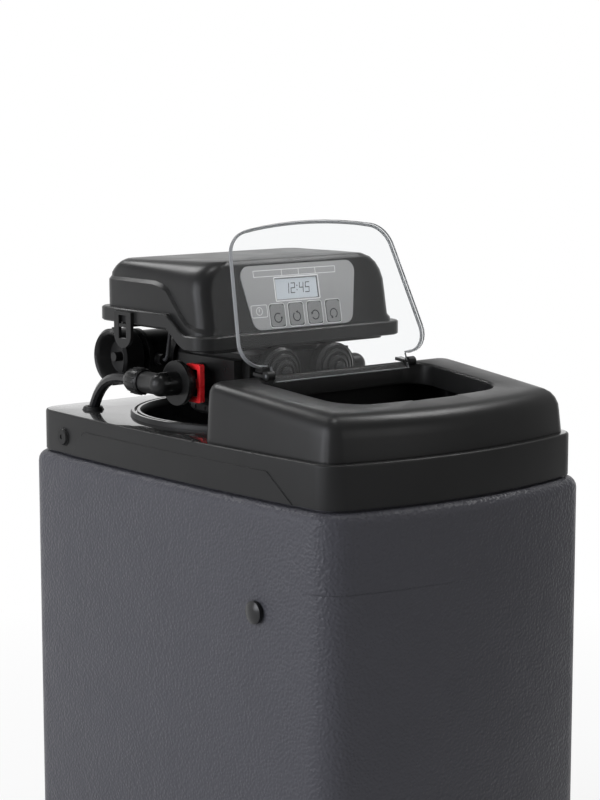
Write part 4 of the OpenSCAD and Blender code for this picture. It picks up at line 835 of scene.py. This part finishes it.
def make_world():
    """A white backdrop behind the object, as bright as paper, and a dimmer room above and before it."""
    world = bpy.data.worlds.new("surroundings")
    SCENE.world = world
    world.use_nodes = True
    tree = world.node_tree
    tree.nodes.clear()
    out = tree.nodes.new("ShaderNodeOutputWorld")
    dim = tree.nodes.new("ShaderNodeBackground")
    dim.inputs["Color"].default_value = WHITE
    dim.inputs["Strength"].default_value = ROOM_LEVEL
    white = tree.nodes.new("ShaderNodeBackground")
    white.inputs["Color"].default_value = WHITE
    toward = tree.nodes.new("ShaderNodeTexCoord").outputs["Generated"]
    behind = spread(tree, part_of(tree, toward, "Y"), 0.15, 1.0, from_low=-0.3, from_high=0.3)
    low = spread(tree, part_of(tree, toward, "Z"), 1.0, 0.1, from_low=0.2, from_high=0.6)
    mix = white_to_view(tree, dim.outputs[0], calculate(tree, "MULTIPLY", behind, low))
    tree.links.new(white.outputs[0], mix.inputs[2])
    tree.links.new(mix.outputs[0], out.inputs["Surface"])


def make_floor():
    """A white floor that keeps the shadow near the object and fades to plain white away from it."""
    half = 9.0
    corners = [(-half, -half, 0), (half, -half, 0), (half, half, 0), (-half, half, 0)]
    mesh = bpy.data.meshes.new("floor")
    mesh.from_pydata(corners, [], [(0, 1, 2, 3)])
    floor = collection_add(bpy.data.objects.new("floor", mesh))
    mat, tree, shader, coords = new_material("floor_paper")
    paper = mix_colour(tree, noise(tree, coords, 300.0), grey(0.84), grey(0.88))
    tree.links.new(paper, shader.inputs["Base Color"])
    shader.inputs["Roughness"].default_value = 0.9
    away = tree.nodes.new("ShaderNodeVectorMath")
    away.operation = "LENGTH"
    tree.links.new(coords, away.inputs[0])
    out = next(n for n in tree.nodes if n.type == "OUTPUT_MATERIAL")
    white = tree.nodes.new("ShaderNodeEmission")
    behind = spread(tree, part_of(tree, coords, "Y"), 0.15, 1.0, from_low=-1.0, from_high=1.0)
    fade = spread(tree, away.outputs["Value"], 0.80, 1.0, from_low=0.4, from_high=1.2)
    mix = white_to_view(tree, shader.outputs["BSDF"], behind, fade)
    tree.links.new(white.outputs[0], mix.inputs[2])
    tree.links.new(mix.outputs[0], out.inputs["Surface"])
    mesh.materials.append(mat)


def point_along(obj, direction):
    obj.rotation_euler = direction.to_track_quat("-Z", "Y").to_euler()


def lamp(name, place, target, size, watts, colour=(1.0, 1.0, 1.0)):
    light = bpy.data.lights.new(name, "AREA")
    light.shape = "RECTANGLE"
    light.size, light.size_y = size
    light.energy = watts
    light.color = colour
    obj = collection_add(bpy.data.objects.new(name, light))
    obj.location = place
    point_along(obj, Vector(target) - Vector(place))


# The photograph's camera: it looks at the middle of the deck. Angles are in radians, the
# distance is in metres, and the focal length and the place of the axis are in pixels.
AZIMUTH = 0.6935
ELEVATION = 0.1523
DISTANCE = 1.83904
FOCAL_PX = 2199.2
AXIS_PX_X = 3.85
AXIS_PX_Y = 20.17
FRAME_W = 600
SENSOR = 36.0


def make_camera():
    level = math.cos(ELEVATION)
    forward = Vector((math.sin(AZIMUTH) * level, math.cos(AZIMUTH) * level, -math.sin(ELEVATION)))
    camera = bpy.data.cameras.new("camera")
    camera.sensor_fit = "HORIZONTAL"
    camera.sensor_width = SENSOR
    camera.lens = FOCAL_PX * SENSOR / FRAME_W
    camera.shift_x = -AXIS_PX_X / FRAME_W
    camera.shift_y = AXIS_PX_Y / FRAME_W
    obj = collection_add(bpy.data.objects.new("camera", camera))
    obj.location = Vector((0, 0, DECK_H * MM)) - forward * DISTANCE
    point_along(obj, forward)
    SCENE.camera = obj


MIDDLE = (0, 0, 0.45)
COLLAR = (-0.1, -0.15, 0.48)

make_world()
make_floor()
lamp("key_light", (-2.3, 0.7, 1.1), MIDDLE, size=(1.1, 1.6), watts=32, colour=(0.92, 0.94, 1.0))
lamp("strip_light", (-2.4, -0.35, 1.1), MIDDLE, size=(0.35, 1.5), watts=13, colour=(0.94, 0.955, 1.0))
lamp("top_light", (-0.1, -0.15, 2.25), (0, -0.15, 0.45), size=(0.4, 0.4), watts=8)
lamp("rear_light", (-0.18, 1.04, 1.52), COLLAR, size=(0.45, 0.45), watts=6)
lamp("side_light", (0.90, -0.20, 1.72), COLLAR, size=(0.45, 0.45), watts=9)
lamp("fill_light", (0.8, -2.6, 1.3), (0, 0, 0.4), size=(1.4, 1.2), watts=8)
make_camera()
SCENE.view_settings.view_transform = "Standard"
